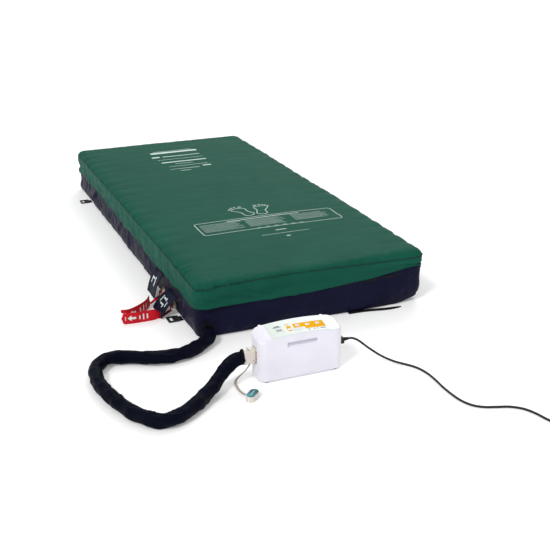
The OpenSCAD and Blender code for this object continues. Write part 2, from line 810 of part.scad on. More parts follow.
module mains_coil() {
    w = coil_turns[0] * lead_d;
    h = coil_turns[1] * lead_d;
    color(black) translate([coil_c[0], coil_c[1], 0.1]) rotate_extrude($fn = 72)
        translate([coil_d / 2, h / 2]) round_rect(w, h, 3);
}

module mains_plug() {
    color(black) translate([plug_c[0], plug_c[1], 0.2]) {
        block(48, 44, 8, 0, 20);
        block(34, 52, 6, 2, 18);
        translate([0, -26, 8]) rotate([90, 0, 0]) cylinder(h = 24, r1 = 6, r2 = lead_d / 2 + 0.6);
        translate([-2, 8, 20]) cube([4, 8, 22]);
        for (s = [-1, 1]) translate([s * 11 - 3.2, -16, 20]) cube([6.4, 4, 18]);
    }
}

base_cover();
top_cover();
zip_chain();
zip_slider();
static_air_base();
cell_sheet();
pillow_cells();
cells_a();
cells_b();
manifold_a();
manifold_b();
static_line();
hose_boot();
cpr_valve_front();
cpr_valve_rear();
cpr_plug_front();
cpr_plug_rear();
cpr_tag_front();
cpr_tag_rear();
cpr_flap_front();
cpr_flap_rear();
side_straps();
strap_buckles();
foot_strap();
hose_sleeve();
hose_connector();
cap_tether();
transport_cap();
cap_plate();
pump_case_front();
pump_case_back();
case_screws();
pump_feet();
control_panel();
display_window();
key_up();
key_down();
key_mode();
key_static();
key_alarm();
circuit_board();
air_port();
inner_tubes();
compressor_housing();
compressor_armature();
compressor_mounts();
valve_body();
valve_disc();
valve_motor();
mains_inlet();
switch_body();
power_rocker();
filter_cover();
air_filter();
hook_left();
hook_right();
iec_connector();
mains_cord();
mains_coil();
mains_plug();
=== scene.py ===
"""Looks of the pressure relief mattress, its pump, hose and lead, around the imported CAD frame.

Metres, in the frame's own axes: origin on the floor under the middle of the mattress, +X towards
its right side, +Y towards the head end, +Z up. The camera stands beyond the foot end, to the left.
"""
import math

import bmesh
import bpy
import numpy as np
from mathutils import Matrix, Vector
from mathutils.bvhtree import BVHTree
from mathutils.geometry import delaunay_2d_cdt


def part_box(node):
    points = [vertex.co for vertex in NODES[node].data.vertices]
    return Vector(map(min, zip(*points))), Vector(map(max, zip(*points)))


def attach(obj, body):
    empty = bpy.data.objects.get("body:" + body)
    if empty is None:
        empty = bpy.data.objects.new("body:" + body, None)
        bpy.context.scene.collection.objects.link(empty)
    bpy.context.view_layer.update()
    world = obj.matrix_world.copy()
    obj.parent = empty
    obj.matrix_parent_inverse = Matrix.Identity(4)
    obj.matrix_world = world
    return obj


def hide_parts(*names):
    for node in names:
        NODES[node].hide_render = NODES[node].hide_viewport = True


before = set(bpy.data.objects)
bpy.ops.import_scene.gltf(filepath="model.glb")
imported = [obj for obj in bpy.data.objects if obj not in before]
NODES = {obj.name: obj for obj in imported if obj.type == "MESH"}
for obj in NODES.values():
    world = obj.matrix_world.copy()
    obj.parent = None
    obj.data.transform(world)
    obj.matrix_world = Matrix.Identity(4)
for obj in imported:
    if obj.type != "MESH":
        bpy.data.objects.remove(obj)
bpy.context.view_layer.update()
MM = 0.001
TAU = math.tau

TOP_LO, TOP_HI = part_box("top_cover")
BASE_LO, BASE_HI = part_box("base_cover")
CORNER = Vector((TOP_LO.x, TOP_LO.y, 0))
PUMP_LO, PUMP_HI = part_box("pump_case_front")
PUMP = Vector(((PUMP_LO.x + PUMP_HI.x) / 2, PUMP_LO.y + 46 * MM, 0))


# ---- meshes ----
def added(name, data):
    """An object in the scene that shows this data."""
    made = bpy.data.objects.new(name, data)
    bpy.context.scene.collection.objects.link(made)
    return made


def mesh_piece(name, points, faces, finish, smooth=True):
    """A mesh object from points and faces, with one material."""
    mesh = bpy.data.meshes.new(name)
    mesh.from_pydata([tuple(p) for p in points], [], faces)
    mesh.polygons.foreach_set("use_smooth", [smooth] * len(mesh.polygons))
    mesh.materials.append(finish)
    return added(name, mesh)


def points_of(piece):
    """A piece's own vertices as an array."""
    flat = np.zeros(len(piece.data.vertices) * 3)
    piece.data.vertices.foreach_get("co", flat)
    return flat.reshape(-1, 3)


def move_points(piece, points):
    """Puts a piece's vertices at new places."""
    piece.data.vertices.foreach_set("co", np.asarray(points).ravel())
    piece.data.update()


def normals_of(piece):
    """A piece's vertex normals as an array."""
    flat = np.zeros(len(piece.data.vertices) * 3)
    piece.data.vertex_normals.foreach_get("vector", flat)
    return flat.reshape(-1, 3)


def modifier(piece, kind, **values):
    """Adds a modifier with these settings."""
    made = piece.modifiers.new(kind.lower(), kind)
    for key, value in values.items():
        setattr(made, key, value)
    return made


def applied(piece):
    """Turns a piece's modifiers into its own mesh."""
    shown = piece.evaluated_get(bpy.context.evaluated_depsgraph_get())
    mesh = bpy.data.meshes.new_from_object(shown)
    piece.modifiers.clear()
    old, piece.data = piece.data, mesh
    bpy.data.meshes.remove(old)
    return piece


def thickened(piece, thickness, offset=0):
    """Gives a sheet its thickness: outward for an offset of 1, inward for -1."""
    modifier(piece, "SOLIDIFY", thickness=thickness, offset=offset)
    return applied(piece)


def clip_floor(piece, least=0.3 * MM):
    """Keeps a piece's points just above the floor."""
    points = points_of(piece)
    points[:, 2] = np.maximum(points[:, 2], least)
    move_points(piece, points)


def placed(piece, body, slot, *nodes):
    """Puts a piece on a body, in place of these nodes; the slot is not used."""
    if nodes:
        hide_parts(*nodes)
    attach(piece, body)


def joined(name, parts):
    """One piece from several, which keep their materials."""
    builder = bmesh.new()
    finishes = []
    for part in parts:
        first = len(builder.faces)
        builder.from_mesh(part.data)
        builder.faces.ensure_lookup_table()
        for face in builder.faces[first:]:
            own = part.data.materials[face.material_index]
            if own not in finishes:
                finishes.append(own)
            face.material_index = finishes.index(own)
    mesh = bpy.data.meshes.new(name)
    builder.to_mesh(mesh)
    builder.free()
    for own in finishes:
        mesh.materials.append(own)
    for part in parts:
        bpy.data.objects.remove(part)
    return added(name, mesh)


def boolean(piece, cutter, operation="DIFFERENCE"):
    """Cuts, joins or intersects a piece with another, which is then removed."""
    for one in (piece, cutter):
        builder = bmesh.new()
        builder.from_mesh(one.data)
        bmesh.ops.recalc_face_normals(builder, faces=builder.faces)
        builder.to_mesh(one.data)
        builder.free()
    modifier(piece, "BOOLEAN", operation=operation, object=cutter, solver="EXACT")
    applied(piece)
    bpy.data.objects.remove(cutter)
    return piece


def block(name, low, high, finish):
    """A box from its lowest to its highest corner."""
    points = [(x, y, z) for z in (low[2], high[2]) for y in (low[1], high[1])
              for x in (low[0], high[0])]
    faces = [(0, 2, 3, 1), (4, 5, 7, 6), (0, 1, 5, 4), (2, 6, 7, 3), (0, 4, 6, 2), (1, 3, 7, 5)]
    return mesh_piece(name, points, faces, finish, smooth=False)


def shade_smooth(piece):
    """Shades every face smooth."""
    piece.data.polygons.foreach_set("use_smooth", [True] * len(piece.data.polygons))


def edge_rounded(piece, width):
    """Rounds the sharp edges of a piece, and shades it smooth."""
    modifier(piece, "WELD", merge_threshold=1e-5)
    modifier(piece, "BEVEL", width=width, segments=3, limit_method="ANGLE",
             angle_limit=math.radians(38))
    modifier(piece, "WEIGHTED_NORMAL", keep_sharp=False, weight=70)
    shade_smooth(piece)


def grid_faces(rows, columns, closed=False):
    """Quads of a grid of points, row by row; closed joins each row's ends."""
    wide = columns if closed else columns - 1
    return [(r * columns + c, r * columns + (c + 1) % columns,
             (r + 1) * columns + (c + 1) % columns, (r + 1) * columns + c)
            for r in range(rows - 1) for c in range(wide)]


def loop_faces(rows, columns, closed=False):
    """Quads of a grid whose last row is joined to its first."""
    return [tuple(v % (rows * columns) for v in face)
            for face in grid_faces(rows + 1, columns, closed)]


def cap_faces(first, last, count):
    """The two end faces of a tube whose end rings start at these points."""
    return [tuple(range(first, first + count))[::-1], tuple(range(last, last + count))]


# ---- smooth noise on arrays ----
def lattice(i, j, seed):
    """A fixed number from -1 to 1 for each whole-number place."""
    n = (i * 374761393 + j * 668265263 + seed * 1274126177) & 0x7FFFFFFF
    n = ((n ^ (n >> 13)) * 1103515245) & 0x7FFFFFFF
    n = ((n ^ (n >> 15)) * 69069 + 1234567) & 0x7FFFFFFF
    return ((n >> 8) & 0xFFFF) / 32767.5 - 1


def noise(x, y, seed, period=None):
    """Smooth noise from -1 to 1 with features one unit wide; period closes it along x.

    Every use has a seed of its own, so that no two fields look alike.
    """
    x, y = np.broadcast_arrays(np.asarray(x, float), np.asarray(y, float))
    i, j = np.floor(x).astype(np.int64), np.floor(y).astype(np.int64)
    u, v = x - i, y - j
    u, v = u * u * u * (u * (6 * u - 15) + 10), v * v * v * (v * (6 * v - 15) + 10)
    near, far = (i % period, (i + 1) % period) if period else (i, i + 1)
    low = lattice(near, j, seed) * (1 - u) + lattice(far, j, seed) * u
    high = lattice(near, j + 1, seed) * (1 - u) + lattice(far, j + 1, seed) * u
    return low * (1 - v) + high * v


def ridges(x, y, seed, period=None):
    """Noise with sharp crests, from 0 to 1."""
    return 1 - np.abs(noise(x, y, seed, period)) * 1.6


def smooth(x):
    """0 below 0, 1 above 1, and an even slope between."""
    t = np.clip(x, 0, 1)
    return t * t * (3 - 2 * t)


# ---- lines ----
def route(points):
    """A route given in millimetres from the mattress's near left corner."""
    return np.array([CORNER + Vector(p) * MM for p in points])


def curved(points, step):
    """A smooth curve through the points, with places about one step apart."""
    p = np.vstack([points[0], points, points[-1]])
    fine = []
    for a, b, c, d in zip(p[:-3], p[1:-2], p[2:-1], p[3:]):
        for t in np.linspace(0, 1, 12, endpoint=False):
            fine.append((2 * b + (c - a) * t + (2 * a - 5 * b + 4 * c - d) * t * t
                         + (3 * b - a - 3 * c + d) * t ** 3) / 2)
    return even(np.array(fine + [p[-1]]), step)


def even(line, step):
    """The same line with points about one step apart."""
    along = np.concatenate([[0], np.cumsum(np.linalg.norm(np.diff(line, axis=0), axis=1))])
    at = np.linspace(0, along[-1], max(2, round(along[-1] / step) + 1))
    return np.stack([np.interp(at, along, line[:, k]) for k in range(3)], axis=1)


def length_of(line):
    """The length of a line of points."""
    return float(np.linalg.norm(np.diff(line, axis=0), axis=1).sum())


def sides_of(line):
    """The level side and the upward direction at each point of a line."""
    ahead = np.gradient(line, axis=0)
    ahead /= np.linalg.norm(ahead, axis=1)[:, None]
    side = np.cross(ahead, (0, 0, 1))
    side /= np.linalg.norm(side, axis=1)[:, None]
    return side, np.cross(side, ahead)


def tube(name, line, across, up, finish, sides):
    """A closed tube: across and up are its half widths, as arrays of places by sides."""
    side, rise = sides_of(line)
    turn = np.arange(sides) * TAU / sides
    points = (line[:, None] + side[:, None] * (across * np.cos(turn))[..., None]
              + rise[:, None] * (up * np.sin(turn))[..., None]).reshape(-1, 3)
    faces = grid_faces(len(line), sides, closed=True) + cap_faces(0, len(points) - sides, sides)
    return mesh_piece(name, points, [f[::-1] for f in faces], finish)


# ---- materials ----
class Finish:
    """A Principled material whose colour, roughness and bump come from procedural textures."""

    def __init__(self, name, colour, rough, **constants):
        self.made = bpy.data.materials.new(name)
        self.made.use_nodes = True
        self.tree = self.made.node_tree
        self.shader = self.tree.nodes["Principled BSDF"]
        self.shader.inputs["Roughness"].default_value = rough
        self.colour, self.rough = colour, rough
        self.shader.inputs["Base Color"].default_value = (*colour, 1)
        for socket, value in constants.items():
            self.shader.inputs[socket.replace("_", " ")].default_value = value
        self.place = self.node("ShaderNodeTexCoord").outputs["Object"]
        self.height = None

    def node(self, kind, **settings):
        """A new node; a setting goes to the input of that name, or else to the property."""
        made = self.tree.nodes.new(kind)
        for key, value in settings.items():
            if key in made.inputs:
                made.inputs[key].default_value = value
            else:
                setattr(made, key, value)
        return made

    def link(self, output, socket):
        """Joins an output to an input."""
        self.tree.links.new(output, socket)

    def cloud(self, scale, detail=4.0, stretch=(1, 1, 1)):
        """Noise from 0 to 1; stretch squeezes it along an axis."""
        squeeze = self.node("ShaderNodeMapping", Scale=stretch)
        self.link(self.place, squeeze.inputs["Vector"])
        made = self.node("ShaderNodeTexNoise", Scale=scale, Detail=detail, Roughness=0.55)
        self.link(squeeze.outputs["Vector"], made.inputs["Vector"])
        return made.outputs["Fac"]

    def mottle(self, scale, amount, rough_by=0.0):
        """Colour, and roughness, that wander by this share."""
        ramp = self.node("ShaderNodeValToRGB")
        low, high = ramp.color_ramp.elements
        low.position, high.position = 0.32, 0.68
        low.color = (*[c * (1 - amount) for c in self.colour], 1)
        high.color = (*[min(1, c * (1 + amount)) for c in self.colour], 1)
        self.link(self.cloud(scale), ramp.inputs["Fac"])
        self.link(ramp.outputs["Color"], self.shader.inputs["Base Color"])
        if rough_by:
            spread = self.node("ShaderNodeMapRange")
            spread.inputs["To Min"].default_value = self.rough - rough_by
            spread.inputs["To Max"].default_value = self.rough + rough_by
            self.link(self.cloud(scale * 2.7), spread.inputs["Value"])
            self.link(spread.outputs["Result"], self.shader.inputs["Roughness"])
        return self

    def raised(self, field, depth):
        """Adds a height field of this depth, in metres, to the bump."""
        bump = self.node("ShaderNodeBump", Strength=1.0, Distance=depth)
        self.link(field, bump.inputs["Height"])
        if self.height is not None:
            self.link(self.height, bump.inputs["Normal"])
        self.height = bump.outputs["Normal"]
        self.link(self.height, self.shader.inputs["Normal"])
        return self

    def grain(self, scale, depth, stretch=(1, 1, 1)):
        """Adds a noise of this depth to the bump."""
        return self.raised(self.cloud(scale, 3.0, stretch), depth)

    def weave(self, pitch, depth):
        """Threads along all three axes, so that every face shows two of them."""
        total = None
        for axis in "XYZ":
            wave = self.node("ShaderNodeTexWave", Scale=0.314 / pitch, Distortion=0.4,
                             bands_direction=axis, wave_profile="SIN")
            wave.inputs["Detail Scale"].default_value = 2.0
            self.link(self.place, wave.inputs["Vector"])
            if total is None:
                total = wave.outputs["Fac"]
                continue
            both = self.node("ShaderNodeMath", operation="ADD")
            self.link(total, both.inputs[0])
            self.link(wave.outputs["Fac"], both.inputs[1])
            total = both.outputs[0]
        return self.raised(total, depth)

    def worn(self, colour):
        """Lighter along convex edges."""
        base = self.shader.inputs["Base Color"].links[0].from_socket
        edge = self.node("ShaderNodeNewGeometry").outputs["Pointiness"]
        span = self.node("ShaderNodeMapRange")
        span.inputs["From Min"].default_value = 0.52
        span.inputs["From Max"].default_value = 0.60
        self.link(edge, span.inputs["Value"])
        blend = self.node("ShaderNodeMix", data_type="RGBA")
        self.link(span.outputs["Result"], blend.inputs["Factor"])
        self.link(base, blend.inputs[6])
        blend.inputs[7].default_value = (*colour, 1)
        self.link(blend.outputs[2], self.shader.inputs["Base Color"])
        return self


def srgb(red, green, blue):
    """Linear colour of a screen colour given from 0 to 255."""
    return [((c / 255 + 0.055) / 1.055) ** 2.4 if c > 10 else c / 255 / 12.92
            for c in (red, green, blue)]


def cloth_finish(name, colour, rough, pitch, mottle=0.10, spec=0.12, crumple=0.0):
    """Woven cloth; pitch is the distance between threads and crumple the depth of soft creases."""
    made = Finish(name, colour, rough, Specular_IOR_Level=spec)
    made.mottle(7, mottle, 0.05)
    made.weave(pitch, pitch * 0.10).grain(900, 0.00008).grain(55, 0.0006)
    if crumple:
        made.grain(17, crumple, stretch=(1, 1, 1.6))
    return made.made


def plastic_finish(name, colour, rough, coat=0.25, grain=0.00003, mottle=0.03, worn=None, **more):
    """Moulded plastic or rubber, lighter along its edges where a worn colour is given."""
    made = Finish(name, colour, rough, Coat_Weight=coat, Coat_Roughness=0.12, **more)
    made.mottle(14, mottle, 0.04).grain(1400, grain)
    if worn:
        made.worn(worn)
    return made.made


def metal_finish(name, colour, rough):
    """Brushed metal."""
    made = Finish(name, colour, rough, Metallic=1.0)
    made.mottle(60, 0.06, 0.06).grain(700, 0.00003, stretch=(1, 12, 1))
    return made.made


GREEN = cloth_finish("green_coated_nylon", srgb(24, 82, 67), 0.46, 0.0009, mottle=0.07,
                     spec=0.02, crumple=0.002)
NAVY = cloth_finish("navy_nylon", srgb(21, 22, 45), 0.42, 0.0011, mottle=0.12,
                    spec=0.04, crumple=0.012)
HOSE_CLOTH = cloth_finish("hose_sleeve_nylon", srgb(10, 13, 26), 0.42, 0.0008, mottle=0.2,
                          spec=0.02, crumple=0.006)
RED = cloth_finish("red_webbing", srgb(203, 22, 40), 0.55, 0.0013, mottle=0.10)
BLACK_WEB = cloth_finish("black_webbing", srgb(22, 21, 24), 0.65, 0.0016, mottle=0.2)
BEIGE_STRAP = cloth_finish("beige_strap", srgb(176, 168, 160), 0.5, 0.0009, mottle=0.06)
PRINT = cloth_finish("white_print", srgb(214, 232, 224), 0.6, 0.0009, mottle=0.05)
STITCH = cloth_finish("dark_thread", srgb(24, 60, 50), 0.7, 0.0006)
FILM = Finish("cell_film", srgb(190, 205, 218), 0.32, Coat_Weight=0.3)
FILM = FILM.mottle(20, 0.05).grain(300, 0.0001).made
SHELL = plastic_finish("white_shell", srgb(229, 228, 238), 0.36, coat=0.15, worn=srgb(248, 248, 252))
BEIGE = plastic_finish("beige_plastic", srgb(212, 205, 196), 0.42, worn=srgb(232, 228, 220))
TEAL = plastic_finish("teal_plate", srgb(12, 82, 100), 0.35, worn=srgb(30, 150, 160))
PALE_PRINT = plastic_finish("pale_print", srgb(170, 205, 210), 0.5)
LABEL = plastic_finish("panel_film", srgb(206, 216, 209), 0.34, coat=0.15, mottle=0.02)
YELLOW = plastic_finish("yellow_print", srgb(232, 170, 0), 0.5, coat=0.0, Specular_IOR_Level=0.03)
KEYS = plastic_finish("key_caps", srgb(214, 219, 222), 0.36)
DARK_PRINT = plastic_finish("dark_print", srgb(58, 84, 104), 0.45)
GREY_PRINT = plastic_finish("grey_print", srgb(168, 182, 180), 0.45)
RED_PRINT = plastic_finish("red_print", srgb(214, 60, 70), 0.45)
GLASS = plastic_finish("display_glass", srgb(112, 122, 120), 0.2, coat=0.4, mottle=0.08)
BLACK = plastic_finish("black_plastic", srgb(22, 21, 24), 0.45, worn=srgb(60, 60, 64))
RUBBER = plastic_finish("black_rubber", srgb(14, 14, 20), 0.7, coat=0.0, grain=0.00008,
                        Specular_IOR_Level=0.12)
LEAD = plastic_finish("lead_rubber", srgb(24, 20, 22), 0.55, coat=0.0, grain=0.00004,
                      worn=srgb(46, 40, 40), Specular_IOR_Level=0.25)
IVORY = plastic_finish("ivory_plastic", srgb(222, 214, 190), 0.4)
RED_PLASTIC = plastic_finish("red_plastic", srgb(196, 24, 36), 0.35)
TUBE = plastic_finish("air_tube", srgb(226, 230, 230), 0.3, coat=0.3)
BOARD = plastic_finish("board_green", srgb(20, 84, 52), 0.45, mottle=0.15)
FOAM = plastic_finish("filter_foam", srgb(70, 72, 76), 0.95, coat=0.0, grain=0.0006)
ZIP_TAPE = cloth_finish("zip_tape", srgb(22, 22, 30), 0.7, 0.0012)
STEEL = metal_finish("screw_steel", srgb(176, 178, 182), 0.3)
CAST = metal_finish("cast_housing", srgb(150, 152, 156), 0.5)
MAGNET = metal_finish("magnet_steel", srgb(110, 112, 118), 0.4)


# ---- camera, light and floor ----
def add_camera():
    """The reference view: turned, tipped and rolled a little."""
    turn, tip, roll = (math.radians(a) for a in (-22.136, 21.642, -0.366))
    eye = (-1.2802, -3.7657, 1.3789)
    lens = bpy.data.cameras.new("camera")
    lens.sensor_width = 36
    lens.lens = 61.44
    lens.clip_end = 60
    camera = added("camera", lens)
    camera.matrix_world = (Matrix.Translation(eye) @ Matrix.Rotation(turn, 4, "Z")
                           @ Matrix.Rotation(math.pi / 2 - tip, 4, "X") @ Matrix.Rotation(roll, 4, "Z"))
    bpy.context.scene.camera = camera


def add_sun(name, place, strength, spread):
    """Even light from far away, in the direction from a place to the middle of the scene."""
    lamp = bpy.data.lights.new(name, "SUN")
    lamp.energy = strength
    lamp.angle = math.radians(spread)
    made = added(name, lamp)
    made.rotation_mode = "QUATERNION"
    made.rotation_quaternion = (-Vector(place)).to_track_quat("-Z", "Y")


def add_studio():
    """A pale floor without an edge in view, an even white surround and two soft suns."""
    surround, more_to_camera = 0.66, 0.6
    far = 40
    world = bpy.data.worlds.new("studio")
    world.use_nodes = True
    world.node_tree.nodes["Background"].inputs["Color"].default_value = (1, 1, 1, 1)
    back = world.node_tree.nodes["Background"].inputs["Strength"]
    seen = world.node_tree.nodes.new("ShaderNodeLightPath").outputs["Is Camera Ray"]
    level = world.node_tree.nodes.new("ShaderNodeMath")
    level.operation = "MULTIPLY_ADD"
    world.node_tree.links.new(seen, level.inputs[0])
    level.inputs[1].default_value, level.inputs[2].default_value = more_to_camera, surround
    world.node_tree.links.new(level.outputs[0], back)
    bpy.context.scene.world = world
    add_sun("key", (-2.6, -1.6, 3.4), 1.35, 14)
    add_sun("back", (1.6, 2.6, 2.2), 0.9, 30)
    paint = Finish("floor_paint", (0.93, 0.93, 0.93), 0.8, Emission_Strength=0.16,
                   Emission_Color=(1, 1, 1, 1)).mottle(3, 0.004).made
    floor = mesh_piece("floor", [(-far, -far, 0), (far, -far, 0), (far, far, 0), (-far, far, 0)],
                       [(0, 1, 2, 3)], paint, smooth=False)
    bpy.context.scene.view_settings.view_transform = "Standard"
    bpy.context.scene.view_settings.exposure = 0.0


# ---- cords ----
HOSE_D = 46 * MM
HOSE_STEP = 2.6 * MM
LEAD_D = 7 * MM
HOSE_ROUTE = route([
    (34, -12, 31), (33, -28, 29), (21, -50, 26), (0, -71, 24),
    (-28, -92, 23.5), (-62, -111, 23.5), (-100, -124, 23.5), (-145, -125, 23.5),
    (-190, -113, 23.5), (-232, -92, 23.5), (-275, -69, 23.5), (-315, -64, 23.5),
    (-352, -84, 23.5), (-374, -125, 23.5), (-382, -175, 23.5), (-380, -240, 23.5),
    (-370, -305, 23.5), (-350, -378, 23.5), (-324, -442, 23.5), (-292, -490, 23.5),
    (-254, -508, 23.5), (-212, -497, 23.5), (-160, -463, 24), (-105, -415, 26),
    (-62, -374, 36), (-24, -347, 55), (10, -334, 74), (42, -332, 83),
])
TETHER_ROUTE = route([
    (66, -332, 57), (58, -332, 45), (47, -329, 30), (33, -325, 16),
    (20, -328, 7), (12, -342, 4.5), (8, -362, 4.5), (6, -385, 4.5),
    (8, -410, 5), (12, -426, 6.5), (17.5, -436.5, 8),
])
LEAD_ROUTE = route([
    (402, -332, 79), (418, -333, 77), (436, -343, 68), (462, -360, 46),
    (496, -384, 22), (530, -408, 7), (560, -440, 3.6), (580, -475, 3.6),
    (589, -520, 3.6), (589, -565, 3.6), (586, -610, 3.6), (586, -655, 3.6),
    (590, -700, 3.6), (604, -738, 3.6), (630, -763, 3.6), (666, -778, 3.6),
    (702, -792, 3.6), (732, -818, 3.6), (748, -853, 3.6), (756, -888, 3.6),
    (765, -917, 3.6), (772.5, -945, 3.6),
])
TAIL_ROUTE = route([
    (877.5, -945, 10.6), (878, -930, 9), (883, -912, 7.5), (892, -896, 7), (898, -884, 8),
])


def gathered_sleeve(line):
    """Half widths of a cloth sleeve pulled over tubes: twisted folds, and bunching inside bends."""
    sides = 72
    step = length_of(line) / (len(line) - 1)
    at = np.arange(len(line))[:, None] * length_of(line) / (len(line) - 1)
    turn = np.arange(sides)[None] * TAU / sides
    twist = 1.3 * np.sin(at * 7) + at * 5.5
    slack = 0.75 + 0.25 * noise(at / 0.11, 0, 3)
    folds = (0.165 * (ridges(turn / TAU * 5 + twist, at / 0.085, 11, 5) - 0.62)
             + 0.095 * (ridges(turn / TAU * 9 - twist * 1.6, at / 0.045, 12, 9) - 0.62)
             + 0.030 * noise(turn / TAU * 16 + twist * 3, at / 0.022, 13, 16))
    bend = np.gradient(np.gradient(line, axis=0), axis=0) / step ** 2
    side, rise = sides_of(line)
    inward = ((bend * side).sum(1)[:, None] * np.cos(turn)
              + (bend * rise).sum(1)[:, None] * np.sin(turn))
    bunch = np.clip(inward / 9, 0, 1) * 0.075 * ridges(at / 0.016, turn / TAU * 3, 14)
    around = 0.08 * (ridges(at / 0.03 + 0.6 * noise(turn / TAU * 4, at / 0.05, 15, 4), 0, 16) - 0.6)
    return HOSE_D / 2 * (0.985 + slack * (folds + around) + bunch), sides


def add_hose():
    """The air hose in its sleeve, a little tighter at the ends, with a rim at the connector."""
    line = curved(HOSE_ROUTE, HOSE_STEP)
    radius, sides = gathered_sleeve(line)
    place = np.arange(len(line))[:, None]
    ends = np.minimum(place, place[::-1]) * HOSE_STEP
    cuff = 1 - 0.10 * smooth(1 - ends / 0.014)
    cuff = cuff + 0.15 * smooth(1 - place * HOSE_STEP / 0.04)
    radius = np.minimum(radius, HOSE_D * 0.56) * cuff
    hose = tube("hose_sleeve_gathered", line, radius, radius, HOSE_CLOTH, sides)
    points = points_of(hose)
    z = points[:, 2]
    points[:, 2] = np.where(z < 1.5 * MM, 0.6 * MM + 0.1 * np.clip(z, 0, 1), z)
    move_points(hose, points)
    placed(hose, "mattress", "hose_cloth", "hose_sleeve")
    rim = ring_around("hose_rim", line[-1] - Vector((3 * MM, 0, 0)), 24 * MM, 15 * MM, 2.4 * MM, RUBBER)
    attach(rim, "mattress")


def ring_around(name, place, high, wide, thick, finish):
    """An oval ring that faces along X."""
    steps, sides = 56, 12
    turn = np.arange(steps) * TAU / steps
    centre = np.stack([0 * turn, np.cos(turn) * wide, np.sin(turn) * high], axis=1)
    out = centre / np.linalg.norm(centre, axis=1)[:, None]
    rim = np.arange(sides) * TAU / sides
    points = (centre[:, None] + out[:, None] * (np.cos(rim) * thick)[None, :, None]
              + np.array((1, 0, 0)) * (np.sin(rim) * thick * 1.6)[None, :, None])
    points = points.reshape(-1, 3) + np.array(place)
    return mesh_piece(name, points, loop_faces(steps, sides, closed=True), finish)


def add_tether():
    """The flat strap that keeps the transport cap with the connector."""
    line = curved(TETHER_ROUTE, 1.5 * MM)
    sides = 16
    turn = np.arange(sides) * TAU / sides
    square = (np.abs(np.cos(turn)) ** 6 + np.abs(np.sin(turn)) ** 6) ** (-1 / 6)
    ones = np.ones((len(line), 1))
    strap = tube("cap_tether_strap", line, ones * square * 3.9 * MM, ones * square * 0.75 * MM,
                 BEIGE_STRAP, sides)
    placed(strap, "mattress", "beige_strap", "cap_tether")


def coil_line(centre, start_angle):
    """The coiled lead: four turns side by side, three high, wound from the outside in and back."""
    places = [(3, 0), (2, 0), (1, 0), (0, 0), (0, 1), (0, 2),
              (1, 2), (1, 1), (2, 1), (2, 2), (3, 2), (3, 1)]
    inner = 31.5 * MM
    per_turn = 48
    line = []
    for k in range(round((len(places) - 0.5) * per_turn) + 1):
        turns = k / per_turn
        slot = min(int(turns), len(places) - 1)
        after = min(slot + 1, len(places) - 1)
        share = float(smooth((turns - slot - 0.86) / 0.14))
        across, layer = (places[slot][i] * (1 - share) + places[after][i] * share for i in (0, 1))
        radius = inner + across * LEAD_D
        angle = start_angle + turns * TAU
        line.append((centre.x + radius * math.cos(angle), centre.y + radius * math.sin(angle),
                     3.6 * MM + layer * LEAD_D))
    return np.array(line)


def add_lead():
    """The mains lead in one run: over the floor to its coil, and on to the plug."""
    low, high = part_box("mains_coil")
    coil = coil_line((low + high) / 2, math.pi)
    line = np.vstack([curved(LEAD_ROUTE, 5 * MM)[:-1], coil[:-1], curved(TAIL_ROUTE, 5 * MM)])
    line[:, 2] = np.maximum(line[:, 2], LEAD_D / 2 + 0.15 * MM)
    data = bpy.data.curves.new("mains_lead_cord", "CURVE")
    data.dimensions = "3D"
    data.bevel_depth = LEAD_D / 2
    data.bevel_resolution = 3
    data.use_fill_caps = True
    data.materials.append(LEAD)
    spline = data.splines.new("POLY")
    spline.points.add(len(line) - 1)
    spline.points.foreach_set("co", np.hstack([line, np.ones((len(line), 1))]).ravel())
    spline.use_smooth = True
    cord = added("mains_lead_cord", data)
    placed(cord, "mains_lead", "lead_rubber", "mains_cord", "mains_coil")
    tie = add_tie((low + high) / 2, (high.x - low.x) / 2, high.z)


def add_tie(centre, reach, top):
    """A hook-and-loop tie round one side of the coil."""
    middle = Vector((centre.x, centre.y - (reach - 14 * MM), top / 2))
    steps, columns = 40, 7

    def squared(value):
        return abs(value) ** 0.55 * math.copysign(1, value)

    points = []
    for i in range(steps):
        a = i * TAU / steps
        y, z = 17.5 * MM * squared(math.cos(a)), (top / 2 + 1.6 * MM) * squared(math.sin(a))
        for c in range(columns):
            x = (c / (columns - 1) - 0.5) * 16 * MM
            points.append(middle + Vector((x, y, max(z, 0.5 * MM - middle.z))))
    tie = mesh_piece("coil_tie", points, loop_faces(steps, columns), BLACK_WEB)
    thickened(tie, 1.1 * MM, 1)
    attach(tie, "mains_lead")
    return tie


# ---- covers ----
ROLL = 38 * MM
DROP = 22 * MM
ROLL_CLOTH = math.pi / 2 * math.sqrt((ROLL ** 2 + DROP ** 2) / 2)
LID_HALF = ((TOP_HI.x - TOP_LO.x) / 2, (TOP_HI.y - TOP_LO.y) / 2)
LID_R = 40 * MM
FOOT_LEFT, FOOT_RIGHT = (-0.44, -1.0), (0.44, -1.0)
CELL_PITCH = 98.5 * MM
CELL_START = TOP_LO.y + 15 * MM
CROWN_Z = TOP_HI.z - 2 * MM
HEM_ROWS = 9
SKIRT = 80 * MM


